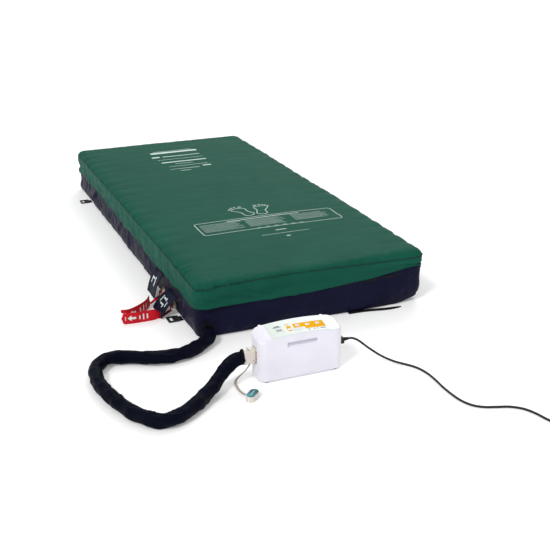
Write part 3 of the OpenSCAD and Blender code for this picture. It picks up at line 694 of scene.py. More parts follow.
def inside_of(x, y, half, r):
    """How far places are inside a rounded rectangle, the outward direction, and a length round it."""
    qx, qy = np.abs(x) - (half[0] - r), np.abs(y) - (half[1] - r)
    corner = (qx > 0) & (qy > 0)
    reach = np.where(corner, np.hypot(qx, qy), np.maximum(qx, qy))
    away = np.where(np.abs(reach) < 1e-9, 1, reach)
    nx = np.where(corner, qx / away, qx >= qy) * np.sign(x)
    ny = np.where(corner, qy / away, qx < qy) * np.sign(y)
    wide, long, arc = half[0] - r, half[1] - r, r * math.pi / 2
    turn = np.arctan2(np.maximum(qy, 0), np.maximum(qx, 0)) * r
    back = arc - turn
    cx, cy = np.clip(x, -wide, wide), np.clip(y, -long, long)
    head = np.where(corner & (x > 0), 4 * wide + 3 * arc + 4 * long + turn,
                    np.where(corner, 2 * wide + back, wide - cx))
    left = 2 * wide + arc + long - cy
    along = np.where(corner & (x < 0), turn - arc, np.where(corner, 2 * wide + back, cx + wide))
    foot = 2 * wide + 2 * arc + 2 * long + along
    right = 4 * wide + 3 * arc + 2 * long + cy + long
    sides = np.where(x > 0, right, left)
    ends = np.where(y > 0, head, foot)
    return r - reach, nx, ny, np.where(corner | (qx < qy), ends, sides)


def corner_share(x, y, corner, size):
    """1 at a corner, falling to 0 a size away."""
    return smooth(1 - np.hypot(x - corner[0], y - corner[1]) / size)


def seam_height(x, y, around):
    """Height of the seam between the panel and the skirt."""
    return (TOP_HI.z - 19 * MM + 5 * MM * noise(around / 0.28, 0, 21)
            + 2 * MM * noise(around / 0.09, 0, 22)
            - 9 * MM * corner_share(x, y, FOOT_LEFT, 0.35)
            - 13 * MM * corner_share(x, y, FOOT_RIGHT, 0.45))


def hem_height(x, y, around):
    """Height of the skirt's lower edge, which waves along the sides."""
    foot = smooth((-0.97 - y) / 0.03)
    wave = 9 * MM * noise(around / 0.21, 0, 23) + 3 * MM * noise(around / 0.07, 0, 24)
    return (TOP_LO.z + 2 * MM + wave * (1 - 0.75 * foot)
            + foot * (7 * MM + 17 * MM * smooth((x + 0.1) / 0.5))
            + 16 * MM * corner_share(x, y, FOOT_RIGHT, 0.25))


def lid_grid(step):
    """The top cover's cloth: a panel whose edge rolls over, and a skirt hanging from its seam."""
    slack = ROLL_CLOTH - ROLL
    half = (LID_HALF[0] + slack, LID_HALF[1] + slack)
    r = LID_R + slack
    columns, rows = round(2 * half[0] / step) + 1, round(2 * half[1] / step) + 1
    y, x = np.meshgrid(np.linspace(-half[1], half[1], rows), np.linspace(-half[0], half[0], columns),
                       indexing="ij")
    a, b = ((np.abs(x) - half[0] + r) / r, (np.abs(y) - half[1] + r) / r)
    corner = (a > 0) & (b > 0)

    def rounded_off(place, size, own, other):
        bent = size - r + r * own * np.sqrt(1 - np.clip(other, 0, 1) ** 2 / 2)
        return np.where(corner, np.sign(place) * bent, place).ravel()

    x, y = rounded_off(x, half[0], a, b), rounded_off(y, half[1], b, a)
    edge, nx, ny, around = inside_of(x, y, half, r)
    phase = np.clip(edge / ROLL_CLOTH, 0, 1) * math.pi / 2
    inset = np.where(edge < ROLL_CLOTH, ROLL * (1 - np.cos(phase)), edge - slack)
    shift = (r - edge) - (LID_R - inset)
    px, py = x - nx * shift, y - ny * shift
    seam = seam_height(px, py, around)
    cell = (py - CELL_START) / CELL_PITCH
    valley = (0.5 + 0.5 * np.cos(cell * TAU)) ** 3
    side = smooth(1 - (LID_HALF[0] - np.abs(px)) / 0.16)
    valley = valley * (0.5 + 4.0 * side) * MM * (np.abs(py) < CELL_PITCH * 10 - 30 * MM)
    crown = CROWN_Z + 5 * MM * (1 - (px / LID_HALF[0]) ** 2) * smooth((LID_HALF[1] - np.abs(py)) / 0.25)
    height = seam + (crown - valley - seam) * np.sin(phase)
    px += nx * (side * (1.5 * MM - valley * 0.55)) * np.abs(nx)
    loop = (list(range(columns)) + [k * columns + columns - 1 for k in range(1, rows)]
            + [(rows - 1) * columns + k for k in range(columns - 2, -1, -1)]
            + [k * columns for k in range(rows - 2, 0, -1)])
    faces = grid_faces(rows, columns)
    points = [np.stack([px, py, height], axis=1)]
    tags = [np.stack([edge, around, 0 * edge], axis=1)]
    hem = hem_height(px[loop], py[loop], around[loop])
    top = height[loop]
    last = loop
    first = len(px)
    for k in range(1, HEM_ROWS + 1):
        t = k / HEM_ROWS
        out = (2.6 * math.sin(math.pi * min(1, t * 1.15)) + 1.5 * t) * MM
        points.append(np.stack([px[loop] + nx[loop] * out, py[loop] + ny[loop] * out,
                                top + (hem - top) * t], axis=1))
        tags.append(np.stack([0 * hem - t * SKIRT, around[loop], 0 * hem + t], axis=1))
        now = list(range(first + (k - 1) * len(loop), first + k * len(loop)))
        faces += [(last[i], now[i], now[(i + 1) % len(loop)], last[(i + 1) % len(loop)])
                  for i in range(len(loop))]
        last = now
    return np.vstack(points), faces, np.vstack(tags), loop


def keep_tags(piece, tags, names):
    """Stores numbers on the points, which a subdivision spreads to its new ones."""
    for column, name in zip(tags.T, names):
        store = piece.data.attributes.new(name, "FLOAT", "POINT").data
        store.foreach_set("value", column.astype(np.float32))


def tag_of(piece, name):
    """The numbers that keep_tags stored, as they have spread."""
    flat = np.zeros(len(piece.data.vertices), np.float32)
    piece.data.attributes[name].data.foreach_get("value", flat)
    return flat.astype(float)


def lid_wrinkles(x, y, edge, around, drop):
    """How far the cloth stands proud of its smooth form, in metres."""
    patch = smooth(0.5 + 1.1 * noise(x / 0.30, y / 0.26, 31))
    warp = 0.25 * noise(x / 0.17, y / 0.13, 32)
    long = ridges(x / 0.26 + warp, y / 0.030 + warp * 1.4, 33) - 0.62
    fine = ridges(x / 0.12 + warp, y / 0.017 + warp, 34) - 0.62
    slant = ridges((x + 0.35 * y) / 0.22, (y - 0.22 * x) / 0.041, 35) - 0.62
    flat = smooth(edge / 0.03) * (drop < 0.01)
    panel = flat * MM * (0.8 * long * (0.25 + patch) + 0.55 * fine * patch * patch
                         + 0.6 * slant * (1 - patch))
    near = np.exp(-np.clip(edge, 0, None) / 0.035) * (drop < 0.01)
    near = near * (1 + 2.2 * corner_share(x, y, FOOT_LEFT, 0.3) + 0.8 * (y < -0.95))
    gathers = MM * near * (2.0 * (ridges(around / 0.027, edge / 0.11, 36) - 0.6)
                           + 1.2 * (ridges(around / 0.012, edge / 0.05, 37) - 0.6))
    hang = smooth(drop / 0.7)
    folds = MM * hang * (5.2 * noise(around / 0.16 + drop * 2.2, drop * 1.7, 38)
                         + 5.0 * (ridges(around / 0.085 - drop * 3.1, drop * 1.3, 39) - 0.6)
                         + 1.2 * (ridges(around / 0.021 + drop * 0.7, drop * 1.5, 40) - 0.6))
    return panel + gathers + folds


def add_top_cover():
    """The cloth over the cells with its welt, wrinkled and given a thickness."""
    points, faces, tags, loop = lid_grid(11 * MM)
    lid = mesh_piece("top_cover_cloth", points, faces, GREEN)
    keep_tags(lid, tags, ("edge", "around", "drop"))
    modifier(lid, "SUBSURF", levels=1, render_levels=1)
    applied(lid)
    points, out = points_of(lid), normals_of(lid)
    edge, around, drop = (tag_of(lid, n) for n in ("edge", "around", "drop"))
    rise = lid_wrinkles(points[:, 0], points[:, 1], edge, around, drop)
    pinch = -0.7 * MM * np.exp(-(edge / 0.0035) ** 2)
    points += out * (rise + pinch)[:, None]
    move_points(lid, points)
    ring = [*loop, loop[0]]
    welt = points[ring] + out[ring] * 1.2 * MM
    size = np.full((len(welt), 8), 1.9 * MM)
    seam = tube("top_cover_seam", welt, size, size, STITCH, 8)
    lid = joined("top_cover_sewn", [thickened(lid, 1.1 * MM, -1), seam])
    placed(lid, "mattress", "green_cloth", "top_cover")
    return lid


BASE_HALF = ((BASE_HI.x - BASE_LO.x) / 2, (BASE_HI.y - BASE_LO.y) / 2)
BASE_R = 30 * MM
BASE_ROWS = 12
BASE_STEP = 8 * MM
BASE_LEFT, BASE_RIGHT = (-0.406, -0.994), (0.434, -0.994)


def base_outline(step):
    """Places, outward directions and lengths round the base cover's outline, anticlockwise."""
    w, h, r = BASE_HALF[0], BASE_HALF[1], BASE_R
    places = []
    for sx, sy, start in ((-1, -1, 180), (1, -1, 270), (1, 1, 0), (-1, 1, 90)):
        places += [(sx * (w - r) + r * math.cos(math.radians(a)),
                    sy * (h - r) + r * math.sin(math.radians(a)), 0)
                   for a in range(start, start + 91, 6)]
    ring = even(np.array(places + [places[0]]), step)[:-1]
    around = np.arange(len(ring)) * step
    _, nx, ny, place = inside_of(ring[:, 0], ring[:, 1], BASE_HALF, BASE_R)
    return ring, nx, ny, around, place


def base_bulge(x, y, around, t, total):
    """How far the base's wall stands out at this share of its height."""
    closed = around / total
    low = 13 * MM * np.sin(math.pi * np.clip(t, 0, 1) ** 0.75)
    period = round(total / 0.13)
    folds = MM * (7.5 * noise(closed * period + 0.9 * t, 1.9 * t, 41, period)
                  + 6.5 * (ridges(closed * period * 2 - 1.6 * t, 1.5 * t, 42, period * 2) - 0.62)
                  + 2.6 * (ridges(closed * period * 5 + 2.1 * t, 2.2 * t, 43, period * 5) - 0.62))
    quiet = smooth((x + 0.40) / 0.1) + smooth((y + 0.44) / 0.06) + smooth((-0.82 - y) / 0.05)
    quiet = np.clip(quiet, 0, 1) * (1 - 0.95 * corner_share(x, y, BASE_LEFT, 0.085))
    ends = np.sin(math.pi * np.clip(t, 0.02, 0.98)) ** 0.5
    tuck = 12 * MM * corner_share(x, y, BASE_RIGHT, 0.12) * (1 - t)
    return (low * 0.8 + folds * ends) * quiet + 1.2 * MM * (1 - quiet) - tuck


def add_base_cover():
    """The tray under the cells: a folded wall that ends under the skirt, and a floor."""
    ring, nx, ny, around, place = base_outline(BASE_STEP)
    total = around[-1] + BASE_STEP
    x, y = ring[:, 0], ring[:, 1]
    lift = 20 * MM * corner_share(x, y, BASE_RIGHT, 0.11)
    top = np.maximum(BASE_HI.z, hem_height(x, y, place) + 14 * MM)
    rings = [np.stack([x - nx * 0.03, y - ny * 0.03, 0.0004 + lift * 0.6], axis=1)]
    rings.append(np.stack([x - nx * 0.005, y - ny * 0.005, 0.0005 + lift], axis=1))
    for k in range(BASE_ROWS + 1):
        t = k / BASE_ROWS
        out = base_bulge(x, y, around, t, total)
        z = 3 * MM + lift * (1 - t) ** 1.5 + (top - 3 * MM) * t
        rings.append(np.stack([x + nx * out, y + ny * out, z], axis=1))
    count = len(ring)
    faces = grid_faces(len(rings), count, closed=True)
    faces += [(i, count - 1 - i, count - 2 - i, i + 1) for i in range(count // 2 - 1)]
    base = mesh_piece("base_cover_cloth", np.vstack(rings), faces, NAVY)
    modifier(base, "SUBSURF", levels=1, render_levels=1)
    clip_floor(thickened(base, 1.2 * MM, -1), 0.2 * MM)
    placed(base, "mattress", "navy_cloth", "base_cover")


# ---- air cells inside the covers ----
def add_cells(node, step):
    """Inflated cross cells, every one or every second: a rounded tube of film with domed ends."""
    low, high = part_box(node)
    left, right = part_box("cell_sheet")[0].x + 3 * MM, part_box("cell_sheet")[1].x
    bottom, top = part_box("cells_a")[0].z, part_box("cells_a")[1].z
    count = round((high.y - low.y + 1 * MM) / CELL_PITCH)
    points, faces = [], []
    around, along = 40, 26
    turn = np.arange(around) * TAU / around
    for k in range(0, count, step):
        y = low.y + CELL_PITCH * (k + 0.5) - 0.5 * MM
        first = len(points)
        for i in range(along):
            u = i / (along - 1) * 2 - 1
            x = (left + right) / 2 + u * (right - left) / 2
            full = max(0.06, 1 - abs(u) ** 26) ** 0.5
            breathe = 1 - 0.012 * math.cos(u * 40)
            wide = (CELL_PITCH / 2 - 1.2 * MM) * full * breathe
            tall = (top - bottom) / 2 * full - 1.5 * MM
            shape = (np.abs(np.cos(turn)) ** 3 + np.abs(np.sin(turn)) ** 3) ** (-1 / 3)
            for c, v, s in zip(np.cos(turn), np.sin(turn), shape):
                points.append((x, y + c * s * wide, (top + bottom) / 2 + v * s * tall - 1 * MM))
        faces += [tuple(first + f for f in face) for face in grid_faces(along, around, closed=True)]
        faces += cap_faces(first, first + (along - 1) * around, around)
    cells = mesh_piece(f"{node}_film", points, faces, FILM)
    placed(cells, "mattress", "cell_film", node)


# ---- ribbons, flaps and straps ----
def ribbon_sway(at, t, wave, seed):
    """How far a ribbon leaves its line, at a share of its length and of its height."""
    return wave * (noise(at * 4 + t * 0.6, t * 1.5, seed) - noise(at * 4, 0, seed) * (1 - t))


def strip(name, spine, low, high, thick, finish, wave, seed):
    """A ribbon standing on its edge along a line, a little wavy."""
    side, _ = sides_of(spine)
    at = np.linspace(0, 1, len(spine))
    rows = 9
    points = []
    for t in np.linspace(0, 1, rows):
        sway = ribbon_sway(at, t, wave, seed)[:, None]
        points.append(spine + side * sway + np.array((0, 0, 1)) * (low + (high - low) * t)[:, None])
    piece = mesh_piece(name, np.vstack(points), grid_faces(rows, len(spine)), finish)
    modifier(piece, "SOLIDIFY", thickness=thick, offset=0)
    modifier(piece, "BEVEL", width=thick * 0.3, segments=2, limit_method="ANGLE")
    return applied(piece)


def plate_on(name, outline, place, thick, finish):
    """A thin plate: a flat outline in its own two directions, put in place by a function."""
    points = [place(u, v, w) for w in (0, thick) for u, v in outline]
    n = len(outline)
    faces = cap_faces(0, n, n) + grid_faces(2, n, closed=True)
    return mesh_piece(name, points, faces, finish, smooth=False)


def flat_on(origin, across, up, out):
    """A place function for plate_on: lengths along three directions from an origin."""
    origin, across, up, out = (np.array(v, float) for v in (origin, across, up, out))
    return lambda u, v, w: origin + across * u + up * v + out * w


def patch(outline, step, place, finish):
    """A print on a curved face: a flat outline cut into small pieces, put in place by a function."""
    loop = []
    for a, b in zip(outline, [*outline[1:], outline[0]]):
        a, b = Vector(a) / step, Vector(b) / step
        parts = max(1, round((b - a).length))
        loop += [a.lerp(b, k / parts) for k in range(parts)]
    low = [min(p[k] for p in loop) for k in (0, 1)]
    high = [max(p[k] for p in loop) for k in (0, 1)]
    spots = [Vector((u, v)) for u in np.arange(low[0] + 0.53, high[0] - 0.1, 1.03)
             for v in np.arange(low[1] + 0.53, high[1] - 0.1, 1.03)]
    edges = [(i, (i + 1) % len(loop)) for i in range(len(loop))]
    places, _, faces, *_ = delaunay_2d_cdt(loop + spots, edges, [], 1, 1e-5)
    mark = mesh_piece("mark", [place(p.x * step, p.y * step) for p in places], faces, finish)
    return thickened(mark, 0.06 * MM)


def bar(u, v, wide, tall):
    """The outline of a rectangle round its middle."""
    return [(u - wide / 2, v - tall / 2), (u + wide / 2, v - tall / 2),
            (u + wide / 2, v + tall / 2), (u - wide / 2, v + tall / 2)]


def arrow(u, v, reach, tall):
    """An arrow towards smaller u, or towards larger u when its reach is below zero."""
    half, neck, shaft = reach / 2, reach * 0.05, tall * 0.2
    return [(u - half, v), (u - neck, v + tall / 2), (u - neck, v + shaft), (u + half, v + shaft),
            (u + half, v - shaft), (u - neck, v - shaft), (u - neck, v - tall / 2)]


def along_line(spine):
    """A function from a length along a line to the place and level side there."""
    steps = np.linalg.norm(np.diff(spine, axis=0), axis=1)
    at = np.concatenate([[0], np.cumsum(steps)])
    side, _ = sides_of(spine)

    def find(length):
        return [np.array([np.interp(length, at, rows[:, k]) for k in range(3)])
                for rows in (spine, side)]
    return find, at[-1]


def add_tag(end, points, swallow_tail, seed):
    """A red pull ribbon on a resuscitation plug, with arrows towards its free end."""
    node, plug = f"cpr_tag_{end}", f"cpr_plug_{end}"
    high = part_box(node)[1]
    wave = 3 * MM
    spine = curved(route([(x, y, 0) for x, y in points]), 3 * MM)
    find, total = along_line(spine)
    at = np.linspace(0, total, len(spine))
    foot, top = 0.6 * MM + 0 * at, high.z - 0.4 * MM + 0 * at
    rise = smooth(at / 0.024)
    foot, top = foot + (1 - rise) * 3 * MM, top * rise + (1 - rise) * 24 * MM
    if not swallow_tail:
        tip = 1 - np.sqrt(np.clip(1 - (1 - np.clip((total - at) / 0.012, 0, 1)) ** 2, 0, 1))
        foot, top = foot + tip * 9 * MM, top - tip * 9 * MM
    ribbon = strip(f"{node}_ribbon", spine, foot, top, 1.2 * MM, RED, wave, seed)
    parts = [ribbon]
    if swallow_tail:
        place, side = find(total - 6 * MM)
        ahead = np.cross(side, (0, 0, 1)) * -1
        notch = plate_on("notch", [(-10 * MM, 21 * MM), (10 * MM, 33 * MM), (10 * MM, 9 * MM)],
                         flat_on(place - side * 12 * MM, ahead, (0, 0, 1), side), 24 * MM, RED)
        boolean(ribbon, notch)
    for sign in (1, -1):
        def place_at(u, v):
            place, side = find(u)
            t = (v - 0.6 * MM) / (high.z - 1 * MM)
            sway = ribbon_sway(u / total, t, wave, seed)
            return place + side * (sway + sign * 0.75 * MM) + np.array((0, 0, v))
        middle = high.z / 2
        shapes = [arrow(total * 0.76, middle, -30 * MM, 21 * MM),
                  bar(total * 0.92, middle, 3 * MM, 14 * MM)]
        shapes += [bar(total * (0.36 + 0.10 * k), middle, 5 * MM, tall * MM)
                   for k, tall in enumerate((18, 22, 15))]
        parts += [patch(shape, 3 * MM, place_at, PRINT) for shape in shapes]
    whole = joined(f"{node}_webbing", [*parts, *tag_root(plug, spine)])
    placed(whole, plug, "red_webbing", node)


def tag_root(plug, spine):
    """The ribbon's flat root, from the plug to where it turns up on its edge, and its hem."""
    low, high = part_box(plug)
    start = Vector((low.x - 0.8 * MM, (low.y + high.y) / 2, 1.2 * MM))
    finish = Vector((spine[2][0], spine[2][1], 1.2 * MM))
    line = np.array([start.lerp(finish, t) for t in np.linspace(0, 1, 12)])
    across = np.cross(line[-1] - line[0], (0, 0, 1))
    across /= np.linalg.norm(across)
    wide = 7 * MM * (1 - 0.35 * np.linspace(0, 1, 12) ** 2)
    rows = [line + across * (k * wide)[:, None] for k in (-1, -0.5, 0, 0.5, 1)]
    root = thickened(mesh_piece("root", np.vstack(rows), grid_faces(5, 12), RED), 1.1 * MM)
    hem = block("hem", (start.x - 0.6 * MM, start.y - 7 * MM, 0.6 * MM),
                (start.x + 0.6 * MM, start.y + 7 * MM, 20 * MM), RED)
    return root, hem


def add_flap(end, knee_bow, skew, marks):
    """A cloth flap over a resuscitation valve, hinged on its top edge, with a bound hem."""
    node = f"cpr_flap_{end}"
    low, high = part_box(node)
    columns, rows = 22, 20
    u, v = np.meshgrid(np.linspace(0, 1, columns), np.linspace(0, 1, rows))
    reach = high.x - low.x - 1.5 * MM
    x = high.x - 1.2 * MM - reach * (v ** 0.85) - knee_bow * np.sin(math.pi * v)
    z = high.z - 0.8 * MM - (high.z - low.z - 1.2 * MM) * (v ** 1.25)
    x = x + 2.2 * MM * noise(u * 3, v * 2, 61 + columns) * v
    z = z + 2.0 * MM * noise(u * 2.5, v * 2, 62) * v * (1 - v)
    y = low.y + (high.y - low.y) * u - skew * v * (1 - u)
    x = x - skew * 0.6 * v
    z = np.maximum(z, 1.4 * MM)
    points = np.stack([x.ravel(), y.ravel(), z.ravel()], axis=1)
    flap = mesh_piece(f"{node}_cloth", points, grid_faces(rows, columns), NAVY)
    modifier(flap, "SUBSURF", levels=1, render_levels=1)
    thickened(flap, 1.3 * MM)
    cloth = points.reshape(rows, columns, 3)
    outward, half_thick = np.array((-0.8, 0, 0.6)), 1.6 * MM
    rim = np.vstack([cloth[:, 1], cloth[-1, 2:-2], cloth[::-1, -2]])
    rim = even(rim[::2], 4 * MM)
    ones = np.ones((len(rim), 1))
    binding = tube("binding", rim, ones * 1.7 * MM, ones * 1.5 * MM, BLACK_WEB, 8)
    clip_floor(binding)

    def on_flap(a, b, lift):
        i, j = b * (rows - 1), a * (columns - 1)
        i0, j0 = min(int(i), rows - 2), min(int(j), columns - 2)
        fi, fj = i - i0, j - j0
        place = ((cloth[i0, j0] * (1 - fj) + cloth[i0, j0 + 1] * fj) * (1 - fi)
                 + (cloth[i0 + 1, j0] * (1 - fj) + cloth[i0 + 1, j0 + 1] * fj) * fi)
        return place + outward * (half_thick + lift)

    prints = [plate_on("mark", bar(*mark), on_flap, 0.25 * MM, PRINT) for mark in marks]
    whole = joined(f"{node}_sewn", [flap, binding, *prints])
    placed(whole, node, "navy_cloth", node)


def add_foot_strap():
    """A loose webbing end that sticks out under the foot end."""
    low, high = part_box("foot_strap")
    line = curved([(low.x + 0.02, high.y - 4 * MM, 1.4 * MM),
                   (low.x + 0.09, high.y - 9 * MM, 1.6 * MM),
                   (high.x - 0.06, low.y + 13 * MM, 2.2 * MM),
                   (high.x - 2 * MM, low.y + 12 * MM, 1.6 * MM)], 4 * MM)
    at = np.linspace(0, 1, len(line))
    side, _ = sides_of(line)
    wide = 9.5 * MM * np.sqrt(np.clip(1 - at ** 6, 0.02, 1))
    rows = [line + side * (k * wide)[:, None] + np.array((0, 0, 1)) * (0.8 * MM * (1 - k * k))
            for k in (-1, -0.6, -0.2, 0.2, 0.6, 1)]
    strap = mesh_piece("foot_strap_webbing", np.vstack(rows), grid_faces(6, len(line)), BLACK_WEB)
    clip_floor(thickened(strap, 1.4 * MM))
    placed(strap, "mattress", "black_webbing", "foot_strap")


# ---- pump case ----
PUMP_W = PUMP_HI.x - PUMP_LO.x
PUMP_D = 92 * MM
PUMP_H = 156 * MM
PUMP_R = 28 * MM
FOOT_H = 3 * MM
TILT = math.radians(11)
ARCH = 950 * MM
SPLIT_Y = 20 * MM
WALL = 2.5 * MM


def on_panel(x, up, lift):
    """A place on the pump's arched, sloping top, lifted off it."""
    turn = math.asin(x / ARCH)
    r = ARCH + lift
    local = Vector((r * math.sin(turn), up, r * math.cos(turn) - ARCH))
    return np.array(PUMP + Vector((0, 0, PUMP_H)) + Matrix.Rotation(TILT, 3, "X") @ local)


def case_top(x, y):
    """Height of the case's top over a place in its plan."""
    arch = (math.sqrt(ARCH ** 2 - x * x) - ARCH) / math.cos(TILT)
    return PUMP_H + y * math.tan(TILT) + arch


def case_ring(inset):
    """The case's outline in plan, this far in."""
    r = max(PUMP_R - inset, 1 * MM)
    w, d = PUMP_W / 2 - inset, PUMP_D / 2 - inset
    run = [x * (w - r) for x in np.linspace(-1, 1, 31)]
    short = np.linspace(-(d - r), d - r, 5)[1:-1]
    arc = [(math.sin(a), math.cos(a)) for a in np.linspace(0, math.pi / 2, 10)]

    def corner(sx, sy, bends):
        return [(sx * (w - r + r * a), sy * (d - r + r * b)) for a, b in bends]

    turned = [(b, a) for a, b in arc]
    return ([(x, -d) for x in run] + corner(1, -1, arc[1:])
            + [(w, y) for y in short] + corner(1, 1, turned)
            + [(x, d) for x in run[-2::-1]] + corner(-1, 1, arc[1:])
            + [(-w, y) for y in short[::-1]] + corner(-1, -1, turned[:-1]))


def case_body(name, inset):
    """The whole case as one closed form with rounded edges, shrunk by a wall's thickness or none."""
    top_r, foot_r = 8 * MM - inset * 0.5, 6 * MM - inset * 0.5
    bottom = FOOT_H + inset
    rings = [[(x, y, bottom + foot_r * (1 - math.cos(a))) for x, y in
              case_ring(inset + foot_r * (1 - math.sin(a)))] for a in np.linspace(0, math.pi / 2, 6)]
    rings += [[(x, y, case_top(x, y) - inset - top_r * (1 - math.sin(a))) for x, y in
               case_ring(inset + top_r * (1 - math.cos(a)))] for a in np.linspace(0, math.pi / 2, 7)]
    count = len(rings[0])
    points = [PUMP + Vector(p) for ring in rings for p in ring]
    faces = grid_faces(len(rings), count, closed=True) + [tuple(range(count))[::-1]]
    spots = [Vector((x, y)) for x in np.arange(-0.12, 0.121, 0.008)
             for y in np.arange(-0.032, 0.0321, 0.008)]
    loop = [(i, (i + 1) % count) for i in range(count)]
    rim = [Vector((x, y)) for x, y, _ in rings[-1]]
    places, _, cap, *_ = delaunay_2d_cdt(rim + spots, loop, [], 1, 1e-7)
    first = len(points) - count
    points += [PUMP + Vector((p.x, p.y, case_top(p.x, p.y) - inset)) for p in places[count:]]
    faces += [tuple(first + i for i in face) for face in cap]
    return mesh_piece(name, points, faces, SHELL)


def recess_cutter(grow):
    """The finger recess under the panel's front edge: a slot with a sloping floor."""
    half, front, back = 50.5 * MM + grow, -PUMP_D / 2 - 4 * MM, -PUMP_D / 2 + 20 * MM + grow
    ceiling = 126 * MM + grow
    section = [(front, 105 * MM - grow), (back, 121 * MM - grow), (back, ceiling), (front, ceiling)]
    points = [PUMP + Vector((x, y, z)) for x in (-half, half) for y, z in section]
    faces = [(0, 1, 2, 3), (7, 6, 5, 4)] + [(i, 4 + i, 4 + (i + 1) % 4, (i + 1) % 4) for i in range(4)]
    return mesh_piece("recess", points, faces, SHELL, smooth=False)


def hole(node, grow):
    """A box a little larger than a part that sits in the case's wall."""
    low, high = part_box(node)
    more = Vector((grow,) * 3)
    return block("hole", Vector(low) - more, Vector(high) + more, SHELL)


def rod(name, start, end, radius, finish, bore=0.0):
    """A round bar between two places, with a hole through it if bore is given."""
    sides = 24
    axis = Vector(end) - Vector(start)
    turn = axis.to_track_quat("Z", "Y").to_matrix()
    rings = [(radius, 0), (radius, axis.length)] + ([(bore, axis.length), (bore, 0)] if bore else [])
    points = [Vector(start) + turn @ Vector((r * math.cos(a), r * math.sin(a), h))
              for r, h in rings for a in np.arange(sides) * TAU / sides]
    if bore:
        return mesh_piece(name, points, loop_faces(len(rings), sides, closed=True), finish)
    faces = grid_faces(len(rings), sides, closed=True) + cap_faces(0, sides, sides)
    return mesh_piece(name, points, faces, finish)


def half_case(name, front):
    """One half of the case as a shell with the recess, the split groove and the wall openings."""
    shell = boolean(case_body(name, 0), recess_cutter(0))
    boolean(shell, boolean(case_body("hollow", WALL), recess_cutter(WALL)))
    far, gap = 0.3, 0.15 * MM
    low = PUMP + Vector((-far, -far if front else SPLIT_Y + gap, -far))
    high = PUMP + Vector((far, SPLIT_Y - gap if front else far, far))
    boolean(shell, block("half", low, high, SHELL), "INTERSECT")
    for node in ("mains_inlet", "power_rocker", "air_port") if front else ("filter_cover",):
        boolean(shell, hole(node, 1.1 * MM if node == "power_rocker" else 0.4 * MM))
    modifier(shell, "BEVEL", width=0.7 * MM, segments=2, limit_method="ANGLE",
             angle_limit=math.radians(50))
    shade_smooth(applied(shell))
    shell.data.set_sharp_from_angle(angle=math.radians(45))
    return shell


def add_pump_case():
    """The two halves of the case, the back one with four lugs for the fold-out hooks."""
    placed(half_case("pump_case_front_shell", True), "pump", "white_shell", "pump_case_front")
    parts = [half_case("pump_case_back_shell", False)]
    axis_y, web_y, lug_r = PUMP.y + 52 * MM, (PUMP.y + 44.5 * MM, PUMP.y + 48 * MM), 5 * MM
    for x in (PUMP.x - 105 * MM, PUMP.x + 105 * MM):
        for low, high in ((92 * MM, 99.6 * MM), (145.4 * MM, 153 * MM)):
            parts.append(rod("lug", (x, axis_y, low), (x, axis_y, high), lug_r, SHELL, bore=2.56 * MM))
            parts.append(block("web", (x - lug_r, web_y[0], low), (x + lug_r, web_y[1], high), SHELL))
    back = joined("pump_case_back_lugged", parts)
    back.data.set_sharp_from_angle(angle=math.radians(45))
    placed(back, "pump", "white_shell", "pump_case_back")


# ---- prints ----
def rounded(u, v, wide, tall, r):
    """The outline of a rectangle with round corners, round its middle."""
    return [(u + su * (wide / 2 - r) + r * math.cos(math.radians(a)),
             v + sv * (tall / 2 - r) + r * math.sin(math.radians(a)))
            for su, sv, start in ((1, -1, -90), (1, 1, 0), (-1, 1, 90), (-1, -1, 180))
            for a in np.linspace(start, start + 90, 5)]


def panel_mark(outline, finish):
    """A printed patch that follows the control panel's arch; sizes are in millimetres on it."""
    return patch(outline, 3, lambda u, v: on_panel(u * MM, v * MM, 1.05 * MM), finish)


def add_panel_print():
    """Generic marks on the control panel and on its keys."""
    fields = [rounded(-29, -2.5, 15, 40, 6),
              [(-13, -11), (21, -11), (21, -23), (90, -23), (90, 11), (-13, 11)]]
    headings = [bar(-64, 9, 26, 3.4), bar(-64, 14, 18, 3.4)]
    lines = [bar(-2, -16 - 4 * k, 34 - 4 * (k % 2), 0.9) for k in range(4)]
    names = [bar(u, -29, wide, 4) for u, wide in ((30, 7), (48, 5), (58, 5), (78, 18))]
    dots = [rounded(u, -19, 3, 3, 1.2) for u in (-68, -60, -52)]
    shapes = ((fields, YELLOW), (headings, DARK_PRINT), (lines, GREY_PRINT), (names, DARK_PRINT),
              (dots, GREY_PRINT))
    marks = [panel_mark(outline, finish) for group, finish in shapes for outline in group]
    placed(joined("panel_print", marks), "pump", "panel_film")
    signs = {"key_up": ((-29, 8), [(0, 2.4), (2.4, -1.4), (-2.4, -1.4)]),
             "key_down": ((-29, -13), [(0, -2.4), (-2.4, 1.4), (2.4, 1.4)]),
             "key_mode": ((1, 0), rounded(0, 0, 6, 3, 1.4)),
             "key_static": ((34, -2), bar(0, 0, 7, 2.2)),
             "key_alarm": ((68, -2), [(0, 2.6), (2.8, -2), (-2.8, -2)])}
    for key, ((u, v), sign) in signs.items():
        outline = [(u + a, v + b) for a, b in sign]
        mark = plate_on(f"{key}_sign", outline, lambda a, b, w: on_panel(a * MM, b * MM, 1.84 * MM + w),
                        0.08 * MM, DARK_PRINT)
        placed(mark, key, "key_caps")


